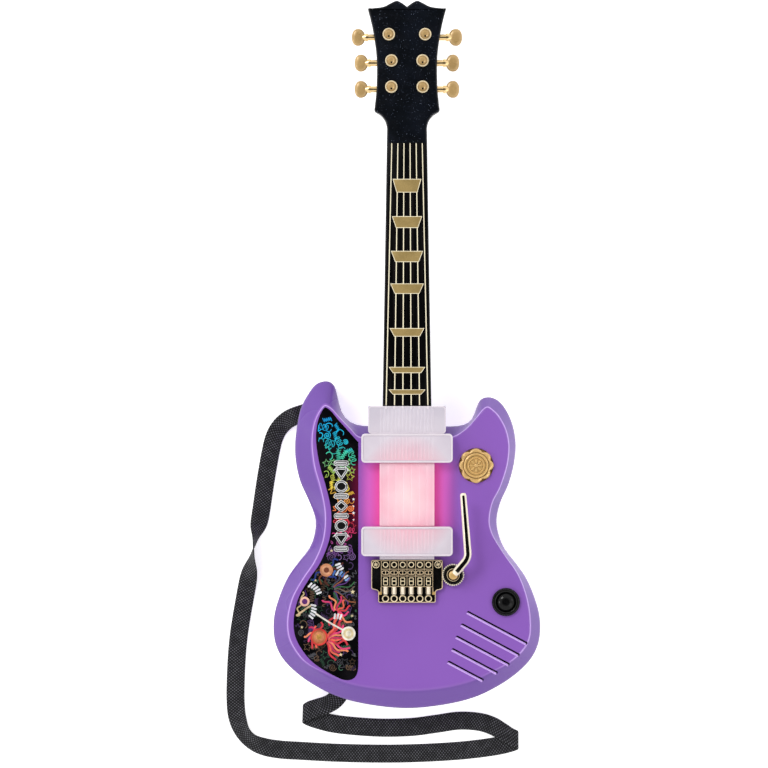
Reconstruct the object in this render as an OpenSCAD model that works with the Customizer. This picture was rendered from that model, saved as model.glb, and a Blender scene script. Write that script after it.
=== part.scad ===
// Toy electric guitar, lying on its back: +Z out of the front face, +Y towards the headstock,
// z = 0 under the flat back, x = 0 on the neck's centre line. Millimetres.

/* [Body] */
// Width of the body across its lower bout
body_w = 234; // [195:1:282]
// Thickness of the body from flat back to front face
body_t = 44; // [37:1:53]
// Height of the seam between the two body shells
seam_z = 22; // [20:1:24]
// Height at which the upright side ends and the sloped rim begins
rim_z = 31; // [28:1:34]
// Wall of every plastic moulding
wall = 2.5; // [2:0.1:3]
// Radius of the rolled edge around the flat back
back_roll = 6; // [4:0.5:7]

/* [Neck and headstock] */
// Length of the neck between the light cover and the foot of the headstock
neck_l = 243; // [203:1:292]
// Half width of the neck where it meets the light cover
neck_w0 = 21.4; // [20:0.1:22]
// Half width of the neck at the headstock
neck_w1 = 17.4; // [16:0.1:18]
// Thickness of the neck, rounded back to fretboard
neck_t = 22; // [19:0.5:25]
// Height of the fretboard above the body's front face
neck_rise = 6; // [4:0.5:8]
// Thickness of the front half of the neck and headstock
neck_front_t = 6.6; // [6:0.1:8]
// Thickness of the headstock
head_t = 17; // [15:0.5:20]

/* [Tuners] */
// Radius of a tuner shaft
peg_r = 2.75; // [2:0.05:3.2]
// Length of a tuner knob along the neck
knob_l = 15; // [12:0.5:18]
// Width of a tuner knob across the neck
knob_w = 11.7; // [9:0.1:13]
// Radius of the round post on the headstock's face
post_r = 5.4; // [4:0.1:6]

/* [Light covers and strum plate] */
// Half width of the two pickup covers
pickup_w = 40; // [36:0.5:42]
// Height of the pickup covers above the front face
pickup_h = 10; // [8:0.5:12]
// Half width of the strum plate
strum_w = 23.8; // [20:0.1:26]
// Length of the strum plate
strum_l = 55; // [46:1:56]
// Radius of the strum plate's pivot pins
strum_pin_r = 1.5; // [1.2:0.1:2]

/* [Bridge and whammy bar] */
// Half width of the bridge plate
bridge_w = 31.3; // [28:0.1:33]
// Thickness of the bridge plate
bridge_t = 3; // [2:0.5:4]
// Outer radius of the whammy bar's collar
collar_r = 9.5; // [8:0.1:10.5]
// Radius of the whammy bar's shaft
shaft_r = 3.5; // [2.9:0.1:4.2]

/* [Buttons] */
// Mean radius of the lobed seal button
seal_r = 14.3; // [12:0.1:17]
// Outer radius of the round button's bezel
bezel_r = 12.3; // [10.5:0.1:14]
// Radius of the round button
dome_r = 8; // [6.7:0.1:9]
// Travel of both buttons
press = 2; // [1:0.1:2.4]

/* [Sound and power] */
// Radius of the loudspeaker's frame
speaker_r = 25; // [21:0.5:27]
// Width of one loudspeaker slot
slot_w = 2.4; // [2:0.1:3]
// Diameter of a battery
bat_d = 14.5; // [12.1:0.1:14.6]
// Length of a battery
bat_l = 50.5; // [42.1:0.1:51]
// Play around and between the batteries
bat_gap = 0.5; // [0.3:0.1:1]
// Travel of the power slider to each side
slider_travel = 4; // [3:0.5:5]

/* [Strap] */
// Width of the webbing
strap_w = 16; // [13.5:0.5:19]
// Thickness of the webbing
strap_t = 1.2; // [1:0.1:1.5]

/* [Hidden] */
$fn = 48;

fit = 0.3;          // gap between pieces that pass or seat beside each other
run = 0.05;         // radial clearance of a turning pin in its bore
bite = 0.5;         // how far a post or rib sinks into the wall that carries it
face_z = body_t;
ceiling_z = face_z - wall;
neck_top = face_z + neck_rise;
neck_split = neck_top - neck_front_t;
neck_foot = -44.4;
collar_y = -61.7;
head_foot = neck_foot + neck_l;
head_back = neck_top - head_t;

// ---- body outline: each station is a point on the side wall and its partner on the inner
// edge of the sloped rim, going from the neck down the left side and up the right ----
STATIONS = [
    [-20, -62, -20, -72], [-38, -62, -40, -72.5], [-50, -58.5, -50, -66], [-57.5, -49.5, -59, -57],
    [-61, -36, -65.5, -49], [-64, -26.5, -69, -46], [-70.5, -22.6, -71.8, -45], [-80, -25.5, -74.5, -48],
    [-88, -36, -77.5, -54.5], [-93.5, -47.5, -79.4, -62], [-96.5, -62, -80.2, -72], [-98.2, -78, -79.2, -84],
    [-97.4, -94, -76.5, -98], [-93.5, -111, -71.8, -114], [-85.5, -129, -68, -130], [-80.4, -144, -66.8, -143],
    [-81.4, -158, -68, -158], [-86, -170, -71.5, -170], [-94.5, -181, -77.5, -183], [-104.5, -195, -86.5, -196],
    [-112.3, -213, -95.5, -212], [-116.8, -231, -99.7, -230], [-116.2, -250, -98.5, -246],
    [-110, -265, -91, -260], [-98, -278, -80.5, -271], [-81, -290, -64, -281], [-59, -300.5, -50, -286.5],
    [-32, -307, -28, -290.5], [0, -310, 0, -292.5], [32, -307, 29, -290.5], [59, -300.5, 54, -285],
    [81, -290, 73, -277], [98, -278, 90, -268], [110, -265, 101.5, -257.5], [116.2, -250, 107, -246],
    [116.8, -231, 107.4, -229], [112.3, -213, 104, -210], [104.5, -195, 97, -192], [94.5, -181, 87.5, -178],
    [86, -170, 79.5, -166], [80.6, -157, 73.7, -155], [78.9, -144, 71.6, -144], [82.2, -129, 74.3, -129],
    [89.3, -113, 81.3, -115], [94, -95.5, 87.3, -96], [95.6, -78, 88.9, -79], [93, -61.5, 86.3, -65.5],
    [87.2, -48, 80.3, -54], [80, -39.5, 74.6, -48], [72, -36.7, 70.4, -45.6], [65, -39, 66.2, -48.2],
    [61.3, -46.5, 61.5, -54], [57.5, -56, 55.5, -61], [50.5, -61, 49.3, -66.5], [38, -62.5, 39, -72],
    [20, -62, 20, -72]
];
wide = body_w / 234;
function bx(x) = x * wide;
count = len(STATIONS);
function blend4(a, b, c, d, t) =
    0.5 * (2 * b + (c - a) * t + (2 * a - 5 * b + 4 * c - d) * t * t + (3 * b - a - 3 * c + d) * t * t * t);
function station(i) = STATIONS[(i + count) % count];
function smooth_station(i, t) = blend4(station(i - 1), station(i), station(i + 1), station(i + 2), t);
SMOOTH = [for (i = [0 : count - 1], t = [0, 0.5]) smooth_station(i, t)];
function wall_point(s) = [bx(s[0]), s[1]];
function edge_point(s) = [bx(s[2]), s[3]];
function inward(s) = (edge_point(s) - wall_point(s)) / norm(edge_point(s) - wall_point(s));
// A level curve: depth mm in from the side wall, or share of the way to the rim's inner edge
function level(depth, share) = [for (s = SMOOTH)
    wall_point(s) * (1 - share) + edge_point(s) * share + inward(s) * depth];
function lift(curve, z) = [for (p = curve) [p[0], p[1], z]];

// Closed skin through a stack of equal rings, lowest first
module skin(rings) {
    n = len(rings[0]);
    last = len(rings) - 1;
    polyhedron(
        points = [for (r = rings, p = r) p],
        faces = concat(
            [[for (i = [0 : n - 1]) i]],
            [for (k = [0 : last - 1], i = [0 : n - 1]) [k * n + i, (k + 1) * n + i, (k + 1) * n + (i + 1) % n]],
            [for (k = [0 : last - 1], i = [0 : n - 1]) [k * n + i, (k + 1) * n + (i + 1) % n, k * n + (i + 1) % n]],
            [[for (i = [n - 1 : -1 : 0]) last * n + i]]),
        convexity = 8);
}

module slab(x0, x1, y0, y1, z0, z1) {
    translate([x0, y0, z0]) cube([x1 - x0, y1 - y0, z1 - z0]);
}

module drum(x, y, r, z0, z1) {
    translate([x, y, z0]) cylinder(r = r, h = z1 - z0);
}

// Rounded plate, centred on x = 0
module round_plate(half_w, y0, y1, r, z0, z1) {
    translate([0, 0, z0]) linear_extrude(z1 - z0) {
        translate([-half_w + r, y0]) square([2 * (half_w - r), y1 - y0]);
        translate([-half_w, y0 + r]) square([2 * half_w, y1 - y0 - 2 * r]);
        for (x = [-1, 1], y = [y0 + r, y1 - r]) translate([x * (half_w - r), y]) circle(r = r);
    }
}

// ---- places shared by the shells and what they carry ----
BODY_SCREWS = [[-68, -67], [73, -67], [-57, -150], [62, -150], [-87, -222], [84, -184], [-42, -278], [28, -280]];
HEEL_SCREWS = [[-11, -73.5], [11, -73.5], [-11, -82], [11, -82]];
screw_r = 1.5;
screw_head_r = 3;
screw_head_h = 2;
screw_sink = 9;
post_wall = 2;
boss_r = screw_r + post_wall + bite;
sink_r = screw_head_r + fit;

seal_x = bx(60.5);
seal_y = -96.4;
dome_x = bx(86.6);
dome_y = -215.9;
whammy_x = max(40.4, bridge_w + collar_r - 0.5);
whammy_y = -192;
speaker_x = bx(61);
speaker_y = -251;
board_x = bx(34);
board_y = -140;
board_w = 38;
board_l = 44;
board_t = 1.6;
board_z = 10;
switch_x = bx(50);
switch_y = -98;

// ---- light covers and strum plate ----
pickup_l = 25.4;
block_w = 34;
block_h = 8;
cover_wall = 2;
upper_y = -68.5;
upper_end = upper_y - pickup_l;
strum_y1 = upper_end - 0.4;
strum_y0 = strum_y1 - strum_l;
lower_y = strum_y0 - 0.4;
lower_end = lower_y - pickup_l - 0.4;
strum_base = face_z + 2;
strum_top = face_z + 7;
pivot_z = face_z - 1;
keel_w = 4;
ear_w = 5;
ear_t = 3;
window_w = strum_w - 3.8;
light_z = 29;
light_w = 17;
light_y0 = strum_y0 - 6;
light_y1 = strum_y1 + 6;
prong_x = 14;
prong_r = 1.5;
prong_z = 34;
mid_y = (strum_y0 + strum_y1) / 2;

module front_holes() {
    // window for the strum plate with a slot at each end for its bearing ears
    slab(-window_w, window_w, strum_y0 + 4, strum_y1 - 4, ceiling_z - 1, face_z + 1);
    slab(-ear_w - fit, ear_w + fit, strum_y0 - ear_t - 1.5, strum_y1 + ear_t + 1.5, ceiling_z - 1, face_z + 1);
    // notch for the heel of the neck
    slab(-heel_w - fit, heel_w + fit, -78, -58, seam_z - 1, heel_top + fit);
    // bores and button holes
    drum(whammy_x, whammy_y, shaft_r + run, whammy_boss_z - 1, face_z + 1);
    translate([seal_x, seal_y, ceiling_z - 1]) linear_extrude(wall + 2) polygon(seal_outline(fit));
    drum(dome_x, dome_y, dome_r + 2 + fit, ceiling_z - 1, face_z + 1);
    speaker_slots();
    translate([0, 0, face_z - label_sink]) linear_extrude(1) polygon(label_outline(0));
    for (p = BODY_SCREWS) drum(bx(p[0]), p[1], screw_r, seam_z - 1, ceiling_z - bite);
    for (p = BRIDGE_SCREWS) drum(p[0], p[1], screw_r, ceiling_z - 6, face_z + 1);
}

slot_tilt = -28;
SLOTS = [[79, -238.5, 57.4], [73, -249, 55.6], [66.4, -258.5, 50.8], [59.4, -267.7, 43.1], [51.4, -276.4, 33.4]];

module speaker_slots() {
    for (s = SLOTS) translate([bx(s[0]), s[1], ceiling_z - 8]) rotate([0, 0, slot_tilt]) {
        translate([-s[2] / 2, -slot_w / 2, 0]) cube([s[2], slot_w, wall + 10]);
        for (e = [-1, 1]) translate([e * s[2] / 2, 0, 0]) cylinder(r = slot_w / 2, h = wall + 10, $fn = 16);
    }
}

label_sink = 0.5;
label_t = 0.4;
label_x = -42.5;
label_first = 4;
label_last = 52;
// Left of a straight line the graphic follows the inner edge of the rim, margin mm inside it
function label_outline(margin) = concat(
    [[bx(label_x) - margin, -75 - margin]],
    [for (i = [label_first : label_last]) edge_point(SMOOTH[i]) + inward(SMOOTH[i]) * (0.6 + margin)],
    [[bx(label_x) - margin, -281 + margin]]);

module front_posts() {
    intersection() {
        union() {
            for (p = BODY_SCREWS) drum(bx(p[0]), p[1], boss_r, seam_z, ceiling_z + bite);
            drum(whammy_x, whammy_y, shaft_r + 3.5, whammy_boss_z, ceiling_z + bite);
            for (p = BRIDGE_SCREWS) drum(p[0], p[1], boss_r, ceiling_z - 6, ceiling_z + bite);
            for (x = [-13, 13], y = [light_y0 + 2.5, light_y1 - 2.5])
                drum(x, y, 2, light_z + board_t, ceiling_z + bite);
            for (x = [-1, 1]) {
                drum(seal_x + x * (seal_r + 6), seal_y, 2.5, seal_board_z + board_t, ceiling_z + bite);
                drum(dome_x + x * 15, dome_y, 2.5, dome_board_z + board_t, ceiling_z + bite);
            }
            for (y = [-12, 12]) drum(whammy_x - 17, whammy_y + y, 2, whammy_board_z + board_t, ceiling_z + bite);
            difference() {
                drum(speaker_x, speaker_y, speaker_r + fit + 1.5, ceiling_z - 4, ceiling_z + bite);
                drum(speaker_x, speaker_y, speaker_r + fit, ceiling_z - 5, ceiling_z + 1);
            }
        }
        front_solid();
    }
}

// Both shells are skins that run past their flat faces and are trimmed there
module trimmed(z0, z1) {
    intersection() {
        children();
        slab(-body_w, body_w, -340, 20, z0, z1);
    }
}

module front_solid() {
    trimmed(seam_z, face_z) skin([
        lift(level(0, 0), seam_z - 2),
        lift(level(0, 0), rim_z - 1.5),
        lift(level(0, 0.12), rim_z + 0.5),
        lift(level(0, 0.9), face_z - 0.9),
        lift(level(0, 1.1), face_z + 0.9)
    ]);
}

module front_hollow() {
    trimmed(seam_z - 1, ceiling_z) skin([
        lift(level(wall, 0), seam_z - 2),
        lift(level(wall, 0), rim_z - 3),
        lift(level(wall, 0.9), ceiling_z - 1),
        lift(level(wall, 1.1), ceiling_z + 1)
    ]);
}

module body_front() {
    color("mediumpurple") difference() {
        union() {
            difference() {
                front_solid();
                front_hollow();
            }
            front_posts();
        }
        front_holes();
    }
}

// ---- back shell ----
tray_x = bx(-34);
tray_y = -235;
tray_w = 3 * (bat_d + bat_gap) + bat_gap;
tray_l = bat_l + 8;
tray_wall = 2;
door_t = 2.2;
bat_z = door_t + 0.4 + bat_d / 2;
tray_top = bat_z + bat_d / 2 + bat_gap;
tray_y0 = tray_y - tray_l / 2;
tray_y1 = tray_y + tray_l / 2;
door_flap = 10;
door_screw_y = tray_y0 - 5.5;
strap_z = 8;
slit_h = strap_t + 1;
// Where the strap passes the side wall, and the bearing of its width there
STRAP_EXITS = [[-94.6, -52.2, 108], [-59.5, -300.5, -24]];
STRAP_SEATS = [[-80, -47.5, 108], [-54.5, -288, -24]];
seat_l = 11;

module strap_seat(z0, z1, half_w) {
    for (s = STRAP_SEATS) translate([s[0], s[1], z0]) rotate([0, 0, s[2]])
        translate([-half_w, -seat_l / 2, 0]) cube([2 * half_w, seat_l, z1 - z0]);
}

module back_solid() {
    trimmed(0, seam_z) skin([
        lift(level(back_roll * 1.35, 0), -back_roll * 0.15),
        lift(level(back_roll * 0.3, 0), back_roll * 0.3),
        lift(level(0, 0), back_roll),
        lift(level(0, 0), seam_z + 2)
    ]);
}

module back_hollow() {
    trimmed(wall, seam_z + 1) skin([
        lift(level(back_roll + wall + 1, 0), wall - 1),
        lift(level(wall, 0), back_roll + 1),
        lift(level(wall, 0), seam_z + 2)
    ]);
}

module back_posts() {
    for (p = BODY_SCREWS) drum(bx(p[0]), p[1], sink_r + post_wall, wall - bite, seam_z);
    for (p = HEEL_SCREWS) drum(p[0], p[1], sink_r + 1.6, wall - bite, heel_z);
    for (x = [-1, 1], y = [-1, 1])
        drum(board_x + x * (board_w / 2 - 4), board_y + y * (board_l / 2 - 4), 3, wall - bite, board_z);
    drum(tray_x, door_screw_y, screw_r + 2.2, door_t + fit, 14);
    slab(tray_x - tray_w / 2 - tray_wall, tray_x + tray_w / 2 + tray_wall, tray_y0 - tray_wall,
        tray_y1 + tray_wall, wall - bite, tray_top + tray_wall);
    slab(tray_x - 5, tray_x + 5, door_screw_y - 3, tray_y0, door_t + fit, 10);
    slab(switch_x - 12, switch_x + 12, switch_y - 8, switch_y + 8, wall - bite, well_z + 1.8);
    intersection() {
        strap_seat(wall - bite, strap_z - strap_t / 2 - 0.15, strap_w / 2 + 1);
        back_solid();
    }
}

module back_holes() {
    for (p = BODY_SCREWS) {
        drum(bx(p[0]), p[1], sink_r, -1, screw_sink);
        drum(bx(p[0]), p[1], screw_r + 0.2, screw_sink - 1, seam_z + 1);
    }
    for (p = HEEL_SCREWS) {
        drum(p[0], p[1], sink_r, -1, screw_sink);
        drum(p[0], p[1], screw_r + 0.2, screw_sink - 1, heel_z + 1);
    }
    // battery bay and its door opening
    slab(tray_x - tray_w / 2, tray_x + tray_w / 2, tray_y0, tray_y1, -1, tray_top);
    slab(tray_x - tray_w / 2 - 1, tray_x + tray_w / 2 + 1, tray_y0 - door_flap, tray_y1 + 1, -1, door_t + fit);
    drum(tray_x, door_screw_y, screw_r + 0.1, 0, 13);
    // well and slot of the power slider
    slab(switch_x - 10, switch_x + 10, switch_y - 6, switch_y + 6, -1, well_z);
    slab(switch_x - slider_travel - 2, switch_x + slider_travel + 2, switch_y - 1.8, switch_y + 1.8, -1, well_z + 3);
    // slits for the strap
    for (s = STRAP_EXITS) translate([s[0], s[1], strap_z - slit_h / 2]) rotate([0, 0, s[2]])
        translate([-strap_w / 2 - 1.5, -9, 0]) cube([strap_w + 3, 18, slit_h]);
    for (s = STRAP_SEATS) drum(s[0], s[1], screw_r, wall - 0.5, strap_z);
}

module body_back() {
    color("mediumpurple") difference() {
        union() {
            difference() {
                back_solid();
                back_hollow();
            }
            back_posts();
        }
        back_holes();
    }
}

module graphic_label() {
    color("black") translate([0, 0, face_z - label_sink]) linear_extrude(label_t) polygon(label_outline(0.15));
}

// ---- light covers ----
module upper_light_cover() {
    passage_w = neck_w0 + 0.8;
    color("ghostwhite") difference() {
        union() {
            round_plate(block_w, upper_y, neck_foot, 3, face_z, face_z + block_h);
            round_plate(pickup_w, upper_end, upper_y, 3.5, face_z, face_z + pickup_h);
            for (x = [-1, 1]) slab(min(x * passage_w, x * block_w), max(x * passage_w, x * block_w),
                collar_y, neck_foot, seam_z + 9, face_z + 1);
            slab(-ear_w, ear_w, upper_end - 0.2, upper_end + ear_t, pivot_z - 3.5, face_z + 2);
        }
        // passage for the neck
        slab(-passage_w, passage_w, collar_y - 2, neck_foot + 1, seam_z, neck_top + fit);
        // hollow from behind
        slab(-pickup_w + cover_wall, pickup_w - cover_wall, upper_end + ear_t + 0.5, upper_y - cover_wall,
            face_z - 1, face_z + pickup_h - cover_wall);
        drum_y(0, upper_end - 1, upper_end + ear_t + 1, pivot_z, strum_pin_r + run);
    }
}

// Cylinder along Y
module drum_y(x, y0, y1, z, r) {
    translate([x, y0, z]) rotate([-90, 0, 0]) cylinder(r = r, h = y1 - y0);
}

module lower_light_cover() {
    color("ghostwhite") difference() {
        union() {
            round_plate(pickup_w, lower_end, lower_y, 3.5, face_z, face_z + pickup_h);
            slab(-strum_w, strum_w, lower_end - 3, lower_end + 1, face_z, face_z + 6);
            slab(-ear_w, ear_w, lower_y - ear_t, lower_y + 0.2, pivot_z - 3.5, face_z + 2);
        }
        slab(-pickup_w + cover_wall, pickup_w - cover_wall, lower_end + cover_wall, lower_y - ear_t - 0.5,
            face_z - 1, face_z + pickup_h - cover_wall);
        drum_y(0, lower_y - ear_t - 1, lower_y + 1, pivot_z, strum_pin_r + run);
    }
}

rib_n = 7;
module strum_plate() {
    rib_step = 2 * strum_w / rib_n;
    color("ghostwhite") {
        difference() {
            union() {
                slab(-strum_w, strum_w, strum_y0, strum_y1, strum_base, strum_top);
                slab(-keel_w, keel_w, strum_y0 + 1, strum_y1 - 1, pivot_z - 2, strum_base + bite);
                drum_y(0, strum_y0 - ear_t, strum_y1 + ear_t, pivot_z, strum_pin_r);
                for (x = [-1, 1]) drum(x * prong_x, mid_y, prong_r, prong_z, strum_base + bite);
            }
            for (i = [1 : rib_n - 1])
                drum_y(-strum_w + i * rib_step, strum_y0 - 1, strum_y1 + 1, strum_top + 0.3, 1, $fn = 24);
        }
    }
}

module strum_pads() {
    color("dimgray") for (x = [-1, 1]) {
        drum(x * prong_x, mid_y, 2.4, light_z + board_t, light_z + board_t + 1);
        drum(x * prong_x, mid_y, 1.6, light_z + board_t, prong_z - 1.2);
    }
}

module light_board() {
    color("darkgreen") slab(-light_w, light_w, light_y0, light_y1, light_z, light_z + board_t);
}

LED_XY = [[-6.5, 18], [6.5, 18], [-6.5, 0], [6.5, 0], [-6.5, -18], [6.5, -18]];
module light_leds() {
    color("pink") for (p = LED_XY) translate([p[0], mid_y + p[1], light_z + board_t]) {
        cylinder(r = 2.5, h = 3);
        translate([0, 0, 3]) sphere(r = 2.4);
    }
}

// ---- bridge ----
bridge_y1 = lower_end - 3.4;
bridge_y0 = bridge_y1 - 37.5;
string_gap = 7.5;
BRIDGE_SCREWS = [[-27.2, bridge_y1 - 4], [27.2, bridge_y1 - 4]];
bridge_top = face_z + bridge_t;
function string_x(i) = (i - 2.5) * string_gap;

module bridge() {
    color("goldenrod") difference() {
        union() {
            round_plate(bridge_w, bridge_y1 - 25.5, bridge_y1, 2, face_z, bridge_top);
            round_plate(25.2, bridge_y0, bridge_y1 - 20, 4, face_z, bridge_top);
            slab(-22.5, 22.5, bridge_y1 - 23.5, bridge_y1 - 0.3, bridge_top - bite, bridge_top + 3);
            for (i = [0 : 5]) {
                x = string_x(i);
                slab(x - 2.6, x + 2.6, bridge_y1 - 21.5, bridge_y1 - 14.3, bridge_top + 2, bridge_top + 4.5);
                drum(x, bridge_y1 - 4, 2.5, bridge_top + 2, bridge_top + 4);
                drum_y(x, bridge_y1 - 30, bridge_y1 - 23, bridge_top + 1.6, 2.3);
                drum(x, bridge_y0 + 3.6, 3, bridge_top - bite, bridge_top + 1.2);
            }
        }
        for (i = [0 : 5]) drum(string_x(i), bridge_y1 - 4, 1.3, bridge_top + 1, bridge_top + 5);
        for (i = [0 : 5]) drum(string_x(i), bridge_y0 + 3.6, 1.6, bridge_top + 0.2, bridge_top + 2);
        for (p = BRIDGE_SCREWS) drum(p[0], p[1], screw_r, face_z - 1, bridge_top + 1);
        drum(whammy_x, whammy_y, collar_r + fit, face_z - 1, bridge_top + 8);
    }
}

module bridge_screws() {
    color("gold") for (p = BRIDGE_SCREWS) {
        drum(p[0], p[1], screw_r, ceiling_z - 5, bridge_top);
        difference() {
            drum(p[0], p[1], 3.2, bridge_top, bridge_top + 1.6);
            translate([p[0], p[1], bridge_top + 1.4]) for (a = [0, 90]) rotate([0, 0, a])
                translate([-2, -0.4, -0.6]) cube([4, 0.8, 1]);
        }
    }
}

// ---- whammy bar ----
whammy_boss_z = ceiling_z - 5.5;
collar_h = 6;
hub_r = 5;
hub_z0 = face_z + 1.5;
hub_z1 = face_z + 12;
arm_z = face_z + pickup_h + 5;
ARM_BEND = [12.9, 15.3];
ARM_TIP = [8.4, 71.9];
lever_z = whammy_boss_z - 5;
whammy_board_z = lever_z - 5;
ticks = 30;

module whammy_collar() {
    color("goldenrod") translate([whammy_x, whammy_y, face_z]) difference() {
        union() {
            cylinder(r = collar_r, h = collar_h - 1.5);
            cylinder(r = collar_r - 1.5, h = collar_h);
        }
        translate([0, 0, -1]) cylinder(r = hub_r + run, h = collar_h + 2);
        for (i = [0 : ticks - 1]) rotate([0, 0, i * 360 / ticks])
            translate([collar_r, 0, 1]) cylinder(r = 0.45, h = collar_h, $fn = 16);
    }
}

module arm_stretch(p, q, rp, rq, zp, zq) {
    hull() {
        translate([p[0], p[1], zp]) sphere(r = rp, $fn = 32);
        translate([q[0], q[1], zq]) sphere(r = rq, $fn = 32);
    }
}

module whammy_bar() {
    color("gold") translate([whammy_x, whammy_y, 0]) {
        difference() {
            translate([0, 0, hub_z0]) cylinder(r = hub_r, h = hub_z1 - hub_z0);
            translate([0, 0, hub_z0 - 1]) cylinder(r = shaft_r, h = 7);
        }
        arm_stretch([1, 1], ARM_BEND * 0.9, 3.4, 3.5, hub_z1 - 1, arm_z);
        arm_stretch(ARM_BEND * 0.9, ARM_BEND + [-0.1, 3], 3.5, 3.5, arm_z, arm_z);
        arm_stretch(ARM_BEND + [-0.1, 3], ARM_TIP, 3.5, 2.7, arm_z, arm_z + 1);
    }
}

module whammy_shaft() {
    color("silver") drum(whammy_x, whammy_y, shaft_r, lever_z - 1, hub_z0 + 6);
}

module whammy_lever() {
    color("dimgray") translate([whammy_x, whammy_y, lever_z]) difference() {
        union() {
            cylinder(r = shaft_r + 3.5, h = 4);
            translate([-15, -3, 0]) cube([15, 6, 3]);
            translate([-11, 0, 0]) cylinder(r = 1.2, h = 7.5, $fn = 24);
        }
        translate([0, 0, -1]) cylinder(r = shaft_r, h = 6);
    }
}

function coil_rings(r, pitch, turns, wire, steps, sides) = [for (i = [0 : turns * steps])
    let (a = i * 360 / steps)
    [for (k = [0 : sides - 1]) let (b = -k * 360 / sides)
        [(r + wire * cos(b)) * cos(a), (r + wire * cos(b)) * sin(a), pitch * i / steps + wire * sin(b)]]];

module whammy_spring() {
    wire = 0.6;
    coil_r = shaft_r + 5;
    turns = 3;
    pitch = 1.4;
    color("silver") translate([whammy_x, whammy_y, whammy_boss_z]) {
        rotate([0, 0, 205]) skin(coil_rings(coil_r, pitch, turns, wire, 14, 8));
    }
}

module whammy_switch() {
    x = whammy_x - 13;
    color("darkgreen") slab(x - 6.5, x + 6, whammy_y - 15, whammy_y + 15, whammy_board_z, whammy_board_z + board_t);
    color("black") slab(x - 2, x + 4, whammy_y - 3, whammy_y + 3, whammy_board_z + board_t, lever_z - fit);
}

// ---- buttons ----
lobes = 8;
function seal_outline(gap) = [for (i = [0 : 63]) let (a = i * 360 / 64)
    (seal_r + gap + 0.6 * cos(lobes * a) + 0.25 * sin(3 * a + 40)) * [cos(a), sin(a)]];
seal_top = face_z + 4;
flange_z = ceiling_z - fit - 1.5;
seal_board_z = flange_z - 7.3;

module seal_button() {
    color("goldenrod") translate([seal_x, seal_y, 0]) difference() {
        union() {
            translate([0, 0, flange_z]) linear_extrude(seal_top - flange_z) polygon(seal_outline(0));
            translate([0, 0, flange_z]) cylinder(r = seal_r + 2.4, h = 1.5);
        }
        translate([0, 0, seal_top - 0.8]) difference() {
            cylinder(r = seal_r * 0.77, h = 2);
            translate([0, 0, -1]) cylinder(r = seal_r * 0.68, h = 4);
        }
        translate([0, 0, flange_z - 1]) cylinder(r = seal_r - 3, h = seal_top - flange_z - 1.5);
    }
}

module dome_pad_shape(z0, z1) {
    cylinder(r1 = 4.6, r2 = 3, h = z1 - z0);
}

seal_crown = seal_top - 2.5;
module seal_pad() {
    color("whitesmoke") translate([seal_x, seal_y, seal_board_z + board_t])
        dome_pad_shape(seal_board_z + board_t, seal_crown);
}

module switch_card(x, y, half_l, z) {
    color("darkgreen") slab(x - half_l, x + half_l, y - 6, y + 6, z, z + board_t);
}

module seal_board() {
    switch_card(seal_x, seal_y, seal_r + 9, seal_board_z);
}

dome_board_z = ceiling_z - 12;
dome_foot = ceiling_z - 5;
module dome_bezel() {
    color("black") translate([dome_x, dome_y, 0]) difference() {
        union() {
            translate([0, 0, face_z]) cylinder(r = bezel_r, h = 1.2);
            translate([0, 0, face_z]) cylinder(r = bezel_r - 1.2, h = 3);
            translate([0, 0, ceiling_z - 2]) cylinder(r = dome_r + 2, h = wall + 3);
        }
        translate([0, 0, ceiling_z - 3]) cylinder(r = dome_r + fit, h = wall + 8);
    }
}

module dome_button() {
    color("black") translate([dome_x, dome_y, 0]) {
        intersection() {
            translate([0, 0, ceiling_z - 3]) cylinder(r = dome_r, h = wall + 8);
            translate([0, 0, face_z + 4.5 - 12]) sphere(r = 12, $fn = 64);
        }
        translate([0, 0, dome_foot]) cylinder(r = dome_r + 1.6, h = 2.6);
    }
}

module dome_pad() {
    color("whitesmoke") translate([dome_x, dome_y, dome_board_z + board_t])
        dome_pad_shape(dome_board_z + board_t, dome_foot);
}

module dome_board() {
    switch_card(dome_x, dome_y, 18, dome_board_z);
}

// ---- loudspeaker ----
speaker_z1 = ceiling_z - 0.2;
speaker_z0 = speaker_z1 - 12;
magnet_r = 12;
module speaker_frame() {
    color("silver") translate([speaker_x, speaker_y, 0]) difference() {
        union() {
            translate([0, 0, speaker_z1 - 2]) cylinder(r = speaker_r, h = 2);
            translate([0, 0, speaker_z0]) cylinder(r1 = magnet_r + 1, r2 = speaker_r - 1, h = 10);
        }
        translate([0, 0, speaker_z0 + 1]) cylinder(r1 = magnet_r, r2 = speaker_r - 2, h = 10);
        translate([0, 0, speaker_z1 - 3]) cylinder(r = speaker_r - 3, h = 5);
        for (i = [0 : 3]) rotate([0, 0, 45 + 90 * i]) translate([magnet_r + 3, -6, speaker_z0 - 1]) cube([30, 12, 8]);
    }
}

module speaker_cone() {
    color("dimgray") translate([speaker_x, speaker_y, 0]) {
        difference() {
            translate([0, 0, speaker_z1 - 8]) cylinder(r1 = 8, r2 = speaker_r - 3.4, h = 6);
            translate([0, 0, speaker_z1 - 7.4]) cylinder(r1 = 8, r2 = speaker_r - 3.4, h = 6);
        }
        translate([0, 0, speaker_z1 - 7.8]) cylinder(r = 7.5, h = 2);
    }
}

module speaker_magnet() {
    color("gray") drum(speaker_x, speaker_y, magnet_r, speaker_z0 - 8, speaker_z0);
}

// ---- electronics ----
module main_board() {
    color("darkgreen") difference() {
        slab(board_x - board_w / 2, board_x + board_w / 2, board_y - board_l / 2, board_y + board_l / 2,
            board_z, board_z + board_t);
        for (x = [-1, 1], y = [-1, 1]) drum(board_x + x * (board_w / 2 - 4), board_y + y * (board_l / 2 - 4),
            screw_r, board_z - 1, board_z + board_t + 1);
    }
}

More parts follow.
